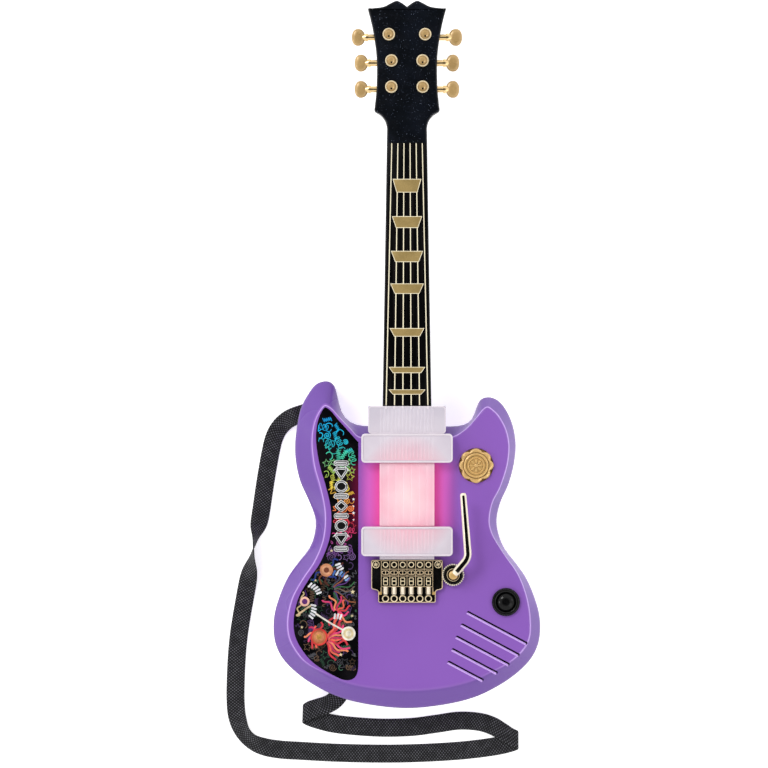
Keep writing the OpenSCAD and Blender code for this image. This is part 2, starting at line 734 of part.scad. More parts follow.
module board_parts() {
    top = board_z + board_t;
    color("black") {
        translate([board_x - 3, board_y - 2, top]) cylinder(r = 8, h = 2);
        slab(board_x + 7, board_x + 16, board_y - 8, board_y + 4, top, top + 2.5);
    }
    color("whitesmoke") for (x = [-7, 6]) slab(board_x + x - 3, board_x + x + 3, board_y - 18.8, board_y - 14, top, top + 5);
    color("whitesmoke") slab(board_x - 14, board_x - 8, board_y + 8.8, board_y + 12.5, top, top + 5);
    color("navy") for (x = [0, 8]) drum(board_x + x, board_y + 13, 3, top, top + 9);
}

module board_screws() {
    for (x = [-1, 1], y = [-1, 1]) translate([board_x + x * (board_w / 2 - 4), board_y + y * (board_l / 2 - 4), 0]) {
        color("silver") drum(0, 0, 2.6, board_z + board_t, board_z + board_t + 1.6);
        color("silver") drum(0, 0, screw_r, board_z, board_z + board_t);
    }
}

function bat_x(i) = tray_x + (i - 1) * (bat_d + bat_gap);
module batteries() {
    y0 = tray_y1 - 1.5 - bat_l;
    for (i = [0 : 2]) {
        color("black") drum_y(bat_x(i), y0, y0 + bat_l - 1.2, bat_z, bat_d / 2);
        color("silver") drum_y(bat_x(i), y0 + bat_l - 1.2, y0 + bat_l, bat_z, 2.7);
    }
}

module battery_springs() {
    color("silver") for (i = [0 : 2]) translate([bat_x(i), tray_y0 + 0.9, bat_z]) rotate([-90, 0, 0])
        skin(coil_rings(3.6, 1.28, 4, 0.4, 10, 6));
}

module battery_plates() {
    half = bat_d / 2 - 1.5;
    color("silver") for (i = [0 : 2]) for (y = [tray_y0, tray_y1 - 0.5])
        slab(bat_x(i) - half, bat_x(i) + half, y, y + 0.5, bat_z - half, bat_z + half);
}

module battery_door() {
    color("mediumpurple") difference() {
        slab(tray_x - tray_w / 2 - 1 + fit, tray_x + tray_w / 2 + 1 - fit, tray_y0 - door_flap + fit,
            tray_y1 + 1 - fit, 0, door_t);
        drum(tray_x, door_screw_y, screw_r, -1, door_t + 1);
        drum(tray_x, door_screw_y, screw_head_r, -1, 1.3);
        for (i = [-1 : 1]) slab(tray_x - 8, tray_x + 8, tray_y1 - 8 + i * 3, tray_y1 - 7 + i * 3, -1, 0.6);
    }
}

module door_screw() {
    color("silver") {
        drum(tray_x, door_screw_y, screw_head_r, 0.2, 1.3);
        drum(tray_x, door_screw_y, screw_r, 1.3, 12);
    }
}

well_z = 2;
module power_slider() {
    color("black") {
        slab(switch_x - 3.5, switch_x + 3.5, switch_y - 4.5, switch_y + 4.5, 0.5, well_z - 0.3);
        slab(switch_x - 1.5, switch_x + 1.5, switch_y - 1.5, switch_y + 1.5, well_z - 0.5, well_z + 5);
    }
}

module power_switch() {
    z = well_z + 1.8;
    color("silver") difference() {
        slab(switch_x - 9, switch_x + 9, switch_y - 4, switch_y + 4, z, z + 6);
        slab(switch_x - slider_travel - 2, switch_x + slider_travel + 2, switch_y - 1.8, switch_y + 1.8, z - 1, z + 4);
    }
}

module body_screws() {
    color("silver") for (p = BODY_SCREWS) {
        drum(bx(p[0]), p[1], screw_head_r, screw_sink - screw_head_h, screw_sink);
        drum(bx(p[0]), p[1], screw_r, screw_sink, seam_z + 12);
    }
}

// ---- neck and headstock ----
heel_w = 19;
heel_z = seam_z + 2;
heel_top = ceiling_z - fit;
heel_end = -86.8;
neck_wall = 2.2;
neck_end = collar_y + 0.4;
function neck_half(y) = neck_w0 + (neck_w1 - neck_w0) * (y - neck_foot) / neck_l;
// Right half of the headstock's outline above its foot, from the neck up to the notch
HEAD_SIDE = [
    [17.4, 0], [18.8, 6], [23, 11.5], [28.2, 14.8], [28, 20], [26.8, 32], [26.3, 45], [26.5, 62],
    [28.3, 77], [30.6, 90], [33.2, 100.5], [34, 104.6], [30, 104.9], [20.5, 106.2], [14, 109.4],
    [9, 111.4], [4.5, 109.5], [0, 106.2]
];
head_n = len(HEAD_SIDE);
function head_at(i) = HEAD_SIDE[max(0, min(head_n - 1, i))];
HEAD_CURVE = concat(
    [for (i = [0 : head_n - 2], t = [0, 0.5]) blend4(head_at(i - 1), head_at(i), head_at(i + 1), head_at(i + 2), t)],
    [head_at(head_n - 1)]);
function head_outline() = concat(
    [for (p = HEAD_CURVE) [p[0], p[1] + head_foot]],
    [for (i = [len(HEAD_CURVE) - 2 : -1 : 0]) [-HEAD_CURVE[i][0], HEAD_CURVE[i][1] + head_foot]]);
function neck_outline(margin, y0, y1) = [
    [-neck_half(y0) + margin, y0], [neck_half(y0) - margin, y0],
    [neck_half(y1) - margin, y1], [-neck_half(y1) + margin, y1]];

PEG_Y = [79.7, 57.2, 34.2];
PEG_KNOB_X = [42.5, 40, 40];
POST_XY = [[15.9, 82], [13.6, 59], [13.7, 36.1]];
peg_z = neck_split;
pocket_w = 24;
pocket_y0 = head_foot + 17;
pocket_y1 = head_foot + 101;
flange_r = 3.9;
NECK_SCREW_Y = [-20, 60, 140, head_foot + 22, head_foot + 91];
neck_screw_r = 1.25;
screw_seat = neck_split - 9;

module peg_bores() {
    for (y = PEG_Y, x = [-1, 1]) translate([x * 30, head_foot + y, peg_z]) rotate([0, 90, 0])
        cylinder(r = peg_r + run, h = 30, center = true);
}

module neck_front() {
    color("black") difference() {
        union() {
            difference() {
                translate([0, 0, neck_split]) linear_extrude(neck_front_t - sheet_t) {
                    polygon(neck_outline(0, neck_end, head_foot + 1));
                    polygon(head_outline());
                }
                translate([0, 0, neck_split - 1]) linear_extrude(neck_front_t - sheet_t - neck_wall + 1)
                    polygon(neck_outline(neck_wall, neck_end + neck_wall, head_foot));
                slab(-pocket_w, pocket_w, pocket_y0, pocket_y1, neck_split - 1, neck_top - sheet_t - neck_wall);
            }
            for (y = NECK_SCREW_Y) drum(0, y, 3.2, neck_split, neck_top - 1);
        }
        for (y = NECK_SCREW_Y) drum(0, y, neck_screw_r, neck_split - 1, neck_split + 3.5);
        peg_bores();
        for (p = POST_XY, x = [-1, 1]) drum(x * p[0], head_foot + p[1], 2.5, neck_split, neck_top + 1);
    }
}

function d_ring(y, inset) = [for (a = [0 : 15 : 180])
    [(neck_half(y) - inset) * cos(a), y, neck_split - (neck_t - neck_front_t - inset) * sin(a)]];

module neck_back() {
    color("black") difference() {
        union() {
            difference() {
                skin([d_ring(neck_end, 0), d_ring(head_foot + 2, 0)]);
                translate([0, 0, 0.01]) skin([d_ring(neck_end + neck_wall, neck_wall), d_ring(head_foot - 2, neck_wall)]);
            }
            difference() {
                translate([0, 0, head_back]) linear_extrude(neck_split - head_back) polygon(head_outline());
                slab(-pocket_w, pocket_w, pocket_y0, pocket_y1, head_back + neck_wall, neck_split + 1);
            }
            slab(-heel_w, heel_w, heel_end, neck_end + 1, heel_z, heel_top);
            for (y = NECK_SCREW_Y) drum(0, y, 4.2, y > head_foot ? head_back : neck_split - 14.5, neck_split);
        }
        for (y = NECK_SCREW_Y) {
            drum(0, y, 2.8, 0, screw_seat);
            drum(0, y, neck_screw_r + 0.2, screw_seat - 1, neck_split + 1);
        }
        peg_bores();
        for (p = HEEL_SCREWS) drum(p[0], p[1], screw_r, heel_z - 1, heel_z + 11);
        slab(-heel_w + 4, heel_w - 4, heel_end + 3, -66, heel_z + 12, heel_top + 1);
    }
}

sheet_t = 0.4;
module fretboard_sheet() {
    color("black") translate([0, 0, neck_top - sheet_t]) linear_extrude(sheet_t)
        polygon(neck_outline(0.3, neck_foot + 0.2, head_foot - 13));
}

module neck_screws() {
    color("silver") for (y = NECK_SCREW_Y) {
        drum(0, y, 2.6, screw_seat - 1.8, screw_seat);
        drum(0, y, neck_screw_r, screw_seat, neck_split + 3.2);
    }
}

module heel_screws() {
    color("silver") for (p = HEEL_SCREWS) {
        drum(p[0], p[1], screw_head_r, screw_sink - screw_head_h, screw_sink);
        drum(p[0], p[1], screw_r, screw_sink, heel_z + 10);
    }
}

module tuner_posts() {
    z = neck_top - sheet_t;
    color("gold") for (p = POST_XY, x = [-1, 1]) translate([x * p[0], head_foot + p[1], z]) difference() {
        union() {
            cylinder(r = post_r, h = 1.6);
            cylinder(r = post_r - 1.6, h = 3.2);
            translate([0, 0, -neck_wall]) cylinder(r = 2.5, h = neck_wall + 1);
        }
        translate([0, -1.4, 1.4]) cylinder(r = 0.7, h = 3, $fn = 16);
    }
}

// Rows run down the headstock; odd numbers on the left, even on the right
module tuner_peg(row, side) {
    knob_x = PEG_KNOB_X[row];
    color("goldenrod") translate([0, head_foot + PEG_Y[row], peg_z]) {
        translate([side * 14, 0, 0]) rotate([0, side * 90, 0]) cylinder(r = peg_r, h = knob_x - 14);
        translate([side * (pocket_w - 2.2), 0, 0]) rotate([0, side * 90, 0]) cylinder(r = flange_r, h = 1.9);
        translate([side * (knob_x - knob_w / 2 - 1.2), 0, 0]) rotate([0, side * 90, 0])
            cylinder(r1 = peg_r + 0.9, r2 = peg_r, h = 2.4);
        translate([side * knob_x, 0, 0]) hull() for (y = [-1, 1]) translate([0, y * (knob_l - knob_w) / 2, 0]) {
            cylinder(r = knob_w / 2, h = 2.4, center = true, $fn = 32);
            cylinder(r = knob_w / 2 - 0.7, h = 4.2, center = true, $fn = 32);
            cylinder(r = knob_w / 2 - 2, h = 5.4, center = true, $fn = 32);
        }
    }
}

module tuner_peg_1() { tuner_peg(0, -1); }
module tuner_peg_2() { tuner_peg(0, 1); }
module tuner_peg_3() { tuner_peg(1, -1); }
module tuner_peg_4() { tuner_peg(1, 1); }
module tuner_peg_5() { tuner_peg(2, -1); }
module tuner_peg_6() { tuner_peg(2, 1); }

// ---- strap ----
// Each row: centre x, y, z, bearing of the webbing's width, and its tilt out of level (degrees)
STRAP_ROUTE = [
    [-74, -46, 8, 108, 0], [-84, -48.8, 8, 108, 0], [-93, -51.5, 8, 109, 0], [-99, -53.6, 7.8, 111, 0],
    [-104.5, -56.3, 5.2, 119, 3], [-109.5, -60.3, 2.2, 132, 2], [-114, -65.8, 0.9, 144, 0],
    [-117.6, -73.5, 0.7, 158, 0], [-120.2, -84, 0.7, 166, 0], [-122.8, -98, 0.7, 169, 0],
    [-125.3, -113, 0.7, 171, 0], [-127.5, -128, 0.7, 172, 0], [-129.4, -141, 1.9, 171, 8],
    [-131.2, -150.5, 4.8, 169, 30], [-133.2, -160, 7.9, 169, 68], [-135.2, -170, 8.4, 169, 90],
    [-137, -180, 7.9, 169, 112], [-138.8, -190, 5.2, 169, 146], [-140.8, -201, 1.9, 168, 172],
    [-143.2, -214, 0.7, 168, 180], [-146, -230, 0.7, 169, 180], [-148.6, -247, 0.7, 172, 180],
    [-150.4, -266, 0.7, 175, 180], [-151.4, -288, 0.7, 178, 180], [-151.5, -306, 0.8, 182, 179],
    [-150, -320, 2.2, 188, 170], [-145.4, -332.4, 4.8, 213, 150], [-137.5, -341, 4.8, 238, 150],
    [-126.5, -346, 2.6, 256, 167], [-112, -348.7, 1, 265, 178], [-92, -350, 0.7, 268, 180],
    [-66, -351.4, 0.7, 268, 180], [-38, -352.2, 0.7, 269, 180], [-8, -352.3, 0.7, 270, 180],
    [20, -351.4, 0.7, 272, 180], [46, -349.8, 0.7, 275, 180], [68, -347.4, 0.7, 277, 180],
    [84, -344.8, 0.8, 277, 180], [93.5, -342.4, 1, 274, 180], [97.4, -341, 1.6, 272, 180],
    [98.4, -340.2, 2.8, 270, 180], [97, -339.2, 3.8, 268, 180], [93, -337.4, 4, 266, 180],
    [85.5, -333, 3.2, 258, 180], [76, -327.8, 1.6, 252, 180], [64, -324.2, 0.8, 260, 180],
    [46, -323.2, 0.7, 275, 180], [26, -326, 0.7, 279, 180], [4, -328.8, 0.7, 275, 180],
    [-22, -329.4, 0.7, 269, 180], [-46, -328, 0.7, 266, 180], [-66, -325.6, 0.7, 263, 180],
    [-80, -322, 0.8, 262, 180], [-87.5, -319.4, 1, 264, 180], [-90.8, -317.8, 1.7, 266, 180],
    [-91.7, -316.8, 2.9, 268, 180], [-90.4, -315.8, 3.9, 272, 180], [-86, -313.6, 4.2, 278, 180],
    [-79, -311.4, 4.6, 282, 180], [-71.5, -309, 5.6, 300, 180], [-65, -305.4, 7, 318, 180],
    [-60.6, -300.6, 8, 331, 180], [-57, -294, 8, 336, 180], [-53.6, -286, 8, 336, 180]
];

// Flat eight-sided section of the webbing: [across, up]
function webbing() = [
    [0.5, 0.28], [0.47, 0.5], [-0.47, 0.5], [-0.5, 0.28], [-0.5, -0.28], [-0.47, -0.5], [0.47, -0.5], [0.5, -0.28]];
function strap_ring(i) = let (
    p = STRAP_ROUTE[i],
    n = len(STRAP_ROUTE),
    a = STRAP_ROUTE[max(0, i - 1)],
    b = STRAP_ROUTE[min(n - 1, i + 1)],
    ahead = [b[0] - a[0], b[1] - a[1], b[2] - a[2]] / norm([b[0] - a[0], b[1] - a[1], b[2] - a[2]]),
    across = [cos(p[3]) * cos(p[4]), sin(p[3]) * cos(p[4]), sin(p[4])],
    up = cross(ahead, across) / norm(cross(ahead, across)))
    [for (s = webbing()) [p[0], p[1], p[2]] + across * s[0] * strap_w + up * s[1] * strap_t];

module strap() {
    color("black") skin([for (i = [0 : len(STRAP_ROUTE) - 1]) strap_ring(i)]);
}

clamp_z = strap_z + strap_t / 2 + 0.05;
module strap_clamps() {
    color("silver") difference() {
        strap_seat(clamp_z, clamp_z + 1.5, strap_w / 2 - 1);
        for (s = STRAP_SEATS) drum(s[0], s[1], screw_r, clamp_z - 1, clamp_z + 3);
    }
}

module strap_screws() {
    color("silver") for (s = STRAP_SEATS) {
        drum(s[0], s[1], screw_r, wall, clamp_z + 1.5);
        drum(s[0], s[1], screw_head_r, clamp_z + 1.5, clamp_z + 3);
    }
}

// ---- inner wires: a pair of six-sided tubes side by side along a route ----
wire_r = 0.7;
function wire_ring(route, i, side) = let (
    n = len(route),
    a = route[max(0, i - 1)],
    b = route[min(n - 1, i + 1)],
    ahead = (b - a) / norm(b - a),
    sideways = cross(ahead, [0.01, 0.02, 1]) / norm(cross(ahead, [0.01, 0.02, 1])),
    over = cross(sideways, ahead))
    [for (k = [0 : 5]) route[i] + sideways * (side * (wire_r + 0.15) + wire_r * cos(60 * k))
        - over * wire_r * sin(60 * k)];

module wire_pair(route) {
    for (side = [-1, 1]) color(side < 0 ? "crimson" : "black")
        skin([for (i = [0 : len(route) - 1]) wire_ring(route, i, side)]);
}

module speaker_wires() {
    wire_pair([[speaker_x - 12, speaker_y + 18, speaker_z0 - 3], [speaker_x - 13, speaker_y + 27, speaker_z0 - 5],
        [board_x + 12, board_y - 60, 20], [board_x + 8, board_y - 42, 16], [board_x + 6, board_y - 30, 14.5],
        [board_x + 6, board_y - 19.6, 14.5]]);
}

module battery_wires() {
    x = tray_x + tray_w / 2 + tray_wall;
    wire_pair([[x + 0.75, tray_y1 - 4, 13], [x + 5, tray_y1 - 1, 13], [x + 10, tray_y1 + 10, 13.5],
        [board_x - 20, board_y - 42, 14.5], [board_x - 10, board_y - 30, 14.5], [board_x - 7, board_y - 19.6, 14.5]]);
}

module light_wires() {
    wire_pair([[10, light_y0 + 8, light_z - 0.8], [12, light_y0 + 14, light_z - 4], [board_x - 17, board_y - 2, 22],
        [board_x - 13, board_y + 4, 17], [board_x - 11, board_y + 8, 14.8]]);
}

body_front();
body_back();
graphic_label();
upper_light_cover();
lower_light_cover();
strum_plate();
strum_pads();
light_board();
light_leds();
bridge();
bridge_screws();
whammy_collar();
whammy_bar();
whammy_shaft();
whammy_lever();
whammy_spring();
whammy_switch();
seal_button();
seal_pad();
seal_board();
dome_bezel();
dome_button();
dome_pad();
dome_board();
speaker_frame();
speaker_cone();
speaker_magnet();
main_board();
board_parts();
board_screws();
batteries();
battery_springs();
battery_plates();
battery_door();
door_screw();
power_slider();
power_switch();
body_screws();
neck_front();
neck_back();
fretboard_sheet();
neck_screws();
heel_screws();
tuner_posts();
tuner_peg_1();
tuner_peg_2();
tuner_peg_3();
tuner_peg_4();
tuner_peg_5();
tuner_peg_6();
strap();
strap_clamps();
strap_screws();
speaker_wires();
battery_wires();
light_wires();
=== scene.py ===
"""Looks of a toy electric guitar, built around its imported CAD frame.

The guitar lies on its back. +Z points out of its front face and +Y runs to the headstock.
Shapes are worked out in millimetres and put into meshes in metres.
"""

import logging
import math
from dataclasses import dataclass, field, replace
from enum import Enum
from functools import reduce

import bmesh
import bpy
import numpy as np
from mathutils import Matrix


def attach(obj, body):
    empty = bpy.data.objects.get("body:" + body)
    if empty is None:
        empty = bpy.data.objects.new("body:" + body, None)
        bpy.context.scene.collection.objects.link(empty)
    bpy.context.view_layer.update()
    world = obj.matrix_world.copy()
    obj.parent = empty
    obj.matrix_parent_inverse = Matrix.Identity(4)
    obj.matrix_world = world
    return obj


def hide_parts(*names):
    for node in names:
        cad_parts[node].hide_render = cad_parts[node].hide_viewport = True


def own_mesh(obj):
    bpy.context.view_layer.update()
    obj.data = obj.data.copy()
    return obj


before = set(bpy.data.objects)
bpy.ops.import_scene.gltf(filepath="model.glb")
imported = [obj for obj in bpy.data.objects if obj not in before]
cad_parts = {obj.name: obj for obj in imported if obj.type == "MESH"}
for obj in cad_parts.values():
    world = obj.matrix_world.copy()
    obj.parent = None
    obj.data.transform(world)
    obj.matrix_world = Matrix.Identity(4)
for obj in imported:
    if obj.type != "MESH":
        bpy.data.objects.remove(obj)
log = logging.getLogger("guitar")

MM = 0.001
# The height of the body's face and the middle of what stands in it, in millimetres
FACE_Z = 44.0
SEAL = (60.5, -96.4)
DOME = (86.6, -215.9)
WHAMMY = (40.4, -192.0)
Colour = tuple[float, float, float]


# ---------------------------------------------------------------- shapes
@dataclass
class Shape:
    """Points in millimetres and the faces between them.

    tint holds one colour for each point, and uv one pair, where a finish reads them.
    """

    points: np.ndarray
    faces: list
    tint: np.ndarray | None = None
    uv: np.ndarray | None = None

    def moved(self, x: float = 0, y: float = 0, z: float = 0) -> "Shape":
        """The shape shifted by x, y and z."""
        return replace(self, points=self.points + np.array([x, y, z]))

    def turned(self, degrees: float) -> "Shape":
        """The shape turned about the Z axis."""
        a = math.radians(degrees)
        turn = np.array([[math.cos(a), math.sin(a), 0], [-math.sin(a), math.cos(a), 0], [0, 0, 1]])
        return replace(self, points=self.points @ turn)

    def coloured(self, colour: Colour) -> "Shape":
        """The shape with one colour on all its points."""
        return replace(self, tint=np.tile(np.array(colour), (len(self.points), 1)))


def joined(shapes: list) -> Shape:
    """All the shapes as one, put together at once."""
    shifts = np.cumsum([0] + [len(s.points) for s in shapes[:-1]])
    faces = [tuple(i + int(d) for i in f) for s, d in zip(shapes, shifts) for f in s.faces]
    tint = np.vstack([s.tint for s in shapes]) if all(s.tint is not None for s in shapes) else None
    return Shape(np.vstack([s.points for s in shapes]), faces, tint)


def grid(rings: np.ndarray, wrap_rings: bool = False, capped: bool = True) -> Shape:
    """A surface through m rings of n points, each ring closed on itself.

    Point (i, j) joins (i, j+1), (i+1, j+1) and (i+1, j) in a quad, with j counted round.

    Args:
        rings: An array m x n x 3. Seen from the last ring, each turns anticlockwise.
        wrap_rings: The last ring joins the first one, as in a hoop.
        capped: Both end rings are closed with one face.

    Returns:
        The closed shape.
    """
    m, n = rings.shape[:2]
    i = np.arange(m if wrap_rings else m - 1)[:, None]
    j = np.arange(n)[None, :]
    k, q = (i + 1) % m, (j + 1) % n
    quads = np.stack([i * n + j, i * n + q, k * n + q, k * n + j], -1).reshape(-1, 4)
    faces = [tuple(f) for f in quads.tolist()]
    if capped and not wrap_rings:
        faces += [tuple(range(n - 1, -1, -1)), tuple(range((m - 1) * n, m * n))]
    return Shape(rings.reshape(-1, 3).astype(float), faces)


def flat_ring(outline: np.ndarray, z: float | np.ndarray) -> np.ndarray:
    """The outline lifted to height z, as n x 3 points."""
    return np.column_stack([outline, np.broadcast_to(z, len(outline))])


def unit(rows: np.ndarray) -> np.ndarray:
    """Each row divided by its length."""
    return rows / np.maximum(np.linalg.norm(rows, axis=1), 1e-9)[:, None]


def quadratic(a: object, b: object, c: object, t: object) -> object:
    """The quadratic curve that leaves a towards b and ends at c, t of the way along."""
    return a * (1 - t) ** 2 + 2 * b * t * (1 - t) + c * t * t


def normals(outline: np.ndarray) -> np.ndarray:
    """Inward unit normals of an outline that turns anticlockwise, mitred at its corners."""
    back = outline - np.roll(outline, 1, 0)
    ahead = np.roll(outline, -1, 0) - outline
    left = [np.column_stack([-e[:, 1], e[:, 0]]) for e in (unit(back), unit(ahead))]
    both = unit(left[0] + left[1])
    return both / np.clip((both * left[0]).sum(1), 0.5, 1)[:, None]


def stack(outline: np.ndarray, steps: list) -> Shape:
    """Rings of one outline, each set in by its own amount, from the lowest to the highest.

    Args:
        outline: The outline, n x 2, anticlockwise.
        steps: Pairs of (set in, height).

    Returns:
        A closed solid with a flat bottom and a flat top.
    """
    n = normals(outline)
    return grid(np.stack([flat_ring(outline + n * d, z) for d, z in steps]))


def plate(outline: np.ndarray, z0: float, z1: float, bevel: float = 0.5) -> Shape:
    """A plate with its top edge rounded over: a quarter circle of radius bevel in four steps."""
    turn = np.linspace(0, math.pi / 2, 4)
    over = [(bevel * (1 - math.cos(a)), z1 - bevel * (1 - math.sin(a))) for a in turn]
    return stack(outline, [(0, z0)] + over)


def trim(outline: np.ndarray, profile: list) -> Shape:
    """A closed bead along an outline: each profile point is (set in, height), going round once."""
    n = normals(outline)
    return grid(np.stack([flat_ring(outline + n * d, z) for d, z in profile]), wrap_rings=True)


def bead(outline: np.ndarray, inner: float, width: float, z0: float, z1: float) -> Shape:
    """A raised line along an outline with its two upper edges rounded."""
    r = min(width, z1 - z0) * 0.35
    a, b = inner, inner + width
    return trim(outline, [(a, z0), (a, z1 - r), (a + 0.3 * r, z1 - 0.3 * r), (a + r, z1),
                          (b - r, z1), (b - 0.3 * r, z1 - 0.3 * r), (b, z1 - r), (b, z0)][::-1])


def oval(x: float, y: float, rx: float, ry: float, sides: int = 48) -> np.ndarray:
    """An ellipse as an anticlockwise outline."""
    a = np.arange(sides) * 2 * math.pi / sides
    return np.column_stack([x + rx * np.cos(a), y + ry * np.sin(a)])


def box(x0: float, x1: float, y0: float, y1: float, r: float = 0.01, steps: int = 6) -> np.ndarray:
    """A rectangle whose corners are quarter circles of radius r, as an anticlockwise outline."""
    a = np.linspace(0, math.pi / 2, steps)
    centres = [(x1 - r, y1 - r, 0), (x0 + r, y1 - r, 1), (x0 + r, y0 + r, 2), (x1 - r, y0 + r, 3)]
    return np.vstack([
        np.column_stack([x + r * np.cos(a + q * math.pi / 2), y + r * np.sin(a + q * math.pi / 2)])
        for x, y, q in centres])


def lathe(profile: list, x: float = 0, y: float = 0, sides: int = 64, hollow: bool = False) -> Shape:
    """A profile of (radius, height) turned about an upright axis at x, y.

    Args:
        profile: Going up the outside, or once round the wall if hollow.
        x: The axis.
        y: The axis.
        sides: How many sides the turn has.
        hollow: The profile closes on itself, as on a ring.

    Returns:
        The turned shape.
    """
    return grid(np.stack([flat_ring(oval(x, y, r, r, sides), z) for r, z in profile]), wrap_rings=hollow)


def cross_product(a: np.ndarray, b: np.ndarray) -> np.ndarray:
    """Unit vectors at right angles to both a and b."""
    return unit(np.cross(a, b))


def headings(path: np.ndarray) -> np.ndarray:
    """Unit vectors along a path, each from the point before to the point after."""
    return unit(np.vstack([path[1:], path[-1:]]) - np.vstack([path[:1], path[:-1]]))


def swept(path: np.ndarray, section: np.ndarray, scale: np.ndarray | None = None) -> Shape:
    """A section (across, up) carried along a path that is nowhere upright.

    Args:
        path: m x 3 points.
        section: n x 2, anticlockwise seen against the heading.
        scale: One factor for each point of the path.

    Returns:
        The closed sweep.
    """
    ahead = headings(path)
    across = cross_product(ahead, np.tile([0.0, 0.0, 1.0], (len(path), 1)))
    up = cross_product(across, ahead)
    k = np.ones(len(path)) if scale is None else scale
    rings = (path[:, None] + across[:, None] * section[None, :, :1] * k[:, None, None]
             + up[:, None] * section[None, :, 1:] * k[:, None, None])
    return grid(rings[:, ::-1])


def smooth_path(points: np.ndarray, steps: int, closed: bool = False) -> np.ndarray:
    """Catmull-Rom through the points: the cubic whose slope at each is half its neighbours' gap."""
    p = np.asarray(points, float)
    if closed:
        a, b, c, d = (np.roll(p, s, 0) for s in (1, 0, -1, -2))
    else:
        e = np.vstack([p[:1], p, p[-1:]])
        a, b, c, d = e[:-3], e[1:-2], e[2:-1], e[3:]
    t = (np.arange(steps) / steps)[None, :, None]
    a, b, c, d = (q[:, None] for q in (a, b, c, d))
    out = 0.5 * (2 * b + (c - a) * t + (2 * a - 5 * b + 4 * c - d) * t**2 + (3 * b - a - 3 * c + d) * t**3)
    out = out.reshape(-1, p.shape[1])
    return out if closed else np.vstack([out, p[-1:]])


def strip(path: np.ndarray, half: np.ndarray | float, z0: float, z1: float) -> Shape:
    """A flat line of print along an x, y path: half its width to each side, z0 to z1 thick."""
    p = np.asarray(path, float)
    ahead = headings(np.column_stack([p, np.zeros(len(p))]))[:, :2]
    left = np.column_stack([-ahead[:, 1], ahead[:, 0]]) * np.broadcast_to(half, len(p))[:, None]
    a, b = p + left, p - left
    return grid(np.stack([flat_ring(a, z0), flat_ring(b, z0), flat_ring(b, z1), flat_ring(a, z1)], 1))


def circle(r: float, sides: int) -> np.ndarray:
    """A round section about its own middle."""
    return oval(0, 0, r, r, sides)


def rounded(corners: np.ndarray, r: float, steps: int = 5) -> np.ndarray:
    """An outline with each corner cut back by r and joined by a quadratic curve."""
    back = unit(np.roll(corners, 1, 0) - corners) * r
    ahead = unit(np.roll(corners, -1, 0) - corners) * r
    t = np.linspace(0, 1, steps)[None, :, None]
    return quadratic((corners + back)[:, None], corners[:, None], (corners + ahead)[:, None], t).reshape(-1, 2)


def rounded_way(corners: np.ndarray, r: float, steps: int = 7, spacing: float = 2.0) -> np.ndarray:
    """A path through three points whose middle corner is a quadratic curve that starts r before it."""
    a, b, c = corners
    p = b + (a - b) / np.linalg.norm(a - b) * r
    q = b + (c - b) / np.linalg.norm(c - b) * r
    t = np.linspace(0, 1, steps)[:, None]
    first = np.linspace(a, p, max(2, int(np.linalg.norm(p - a) / spacing)))[:-1]
    last = np.linspace(q, c, max(2, int(np.linalg.norm(c - q) / spacing)))[1:]
    last = np.vstack([last[:-1], c + (q - c) / np.linalg.norm(q - c) * np.array([[1.2], [0.4], [0]])])
    return np.vstack([first, quadratic(p, b, q, t), last])


def ribbon(path: np.ndarray, half: np.ndarray | float, thick: float) -> Shape:
    """A flat bar carried along a rising path, half its width to each side."""
    ahead = headings(path)
    across = cross_product(ahead, np.tile([0.0, 0.0, 1.0], (len(path), 1)))
    w = np.broadcast_to(half, len(path))[:, None]
    up = np.array([0, 0, thick / 2])
    a, b = path + across * w, path - across * w
    return grid(np.stack([a - up, a + up, b + up, b - up], 1)[:, ::-1])


def put(name: str, shape: Shape, sharp: float = 35) -> bpy.types.Object:
    """A Blender object from a shape, at the origin, with its faces turned outwards.

    Args:
        name: The piece's name.
        shape: Its shape in millimetres.
        sharp: The angle in degrees past which an edge between two faces stays sharp.

    Returns:
        The new object, linked to the scene.
    """
    mesh = bpy.data.meshes.new(name)
    mesh.from_pydata((shape.points * MM).tolist(), [], shape.faces)
    if shape.tint is not None:
        layer = mesh.color_attributes.new("tint", "FLOAT_COLOR", "POINT")
        layer.data.foreach_set("color", np.column_stack([shape.tint, np.ones(len(shape.tint))]).ravel())
    if shape.uv is not None:
        loops = np.zeros(len(mesh.loops), int)
        mesh.loops.foreach_get("vertex_index", loops)
        mesh.uv_layers.new(name="UVMap").data.foreach_set("uv", shape.uv[loops].ravel())
    piece = bpy.data.objects.new(name, mesh)
    bpy.context.scene.collection.objects.link(piece)
    work = bmesh.new()
    work.from_mesh(mesh)
    bmesh.ops.recalc_face_normals(work, faces=work.faces)
    work.to_mesh(mesh)
    work.free()
    smooth_shade(piece, sharp)
    return piece


def smooth_shade(piece: bpy.types.Object, sharp: float) -> None:
    """Shades a piece smooth, and crisp at edges of more than sharp degrees."""
    piece.data.shade_smooth()
    piece.data.set_sharp_from_angle(angle=math.radians(sharp))


def cut(piece: bpy.types.Object, tool: Shape, sharp: float = 35) -> None:
    """Takes the tool's space out of a piece for good."""
    knife = put("knife", tool)
    change = piece.modifiers.new("cut", "BOOLEAN")
    change.object = knife
    change.operation = "DIFFERENCE"
    change.solver = "EXACT"
    bpy.context.view_layer.update()
    seen = piece.evaluated_get(bpy.context.evaluated_depsgraph_get())
    old, mesh = piece.data, bpy.data.meshes.new_from_object(seen)
    piece.modifiers.clear()
    piece.data = mesh
    mesh.name = old.name
    bpy.data.meshes.remove(old)
    bpy.data.objects.remove(knife)
    smooth_shade(piece, sharp)


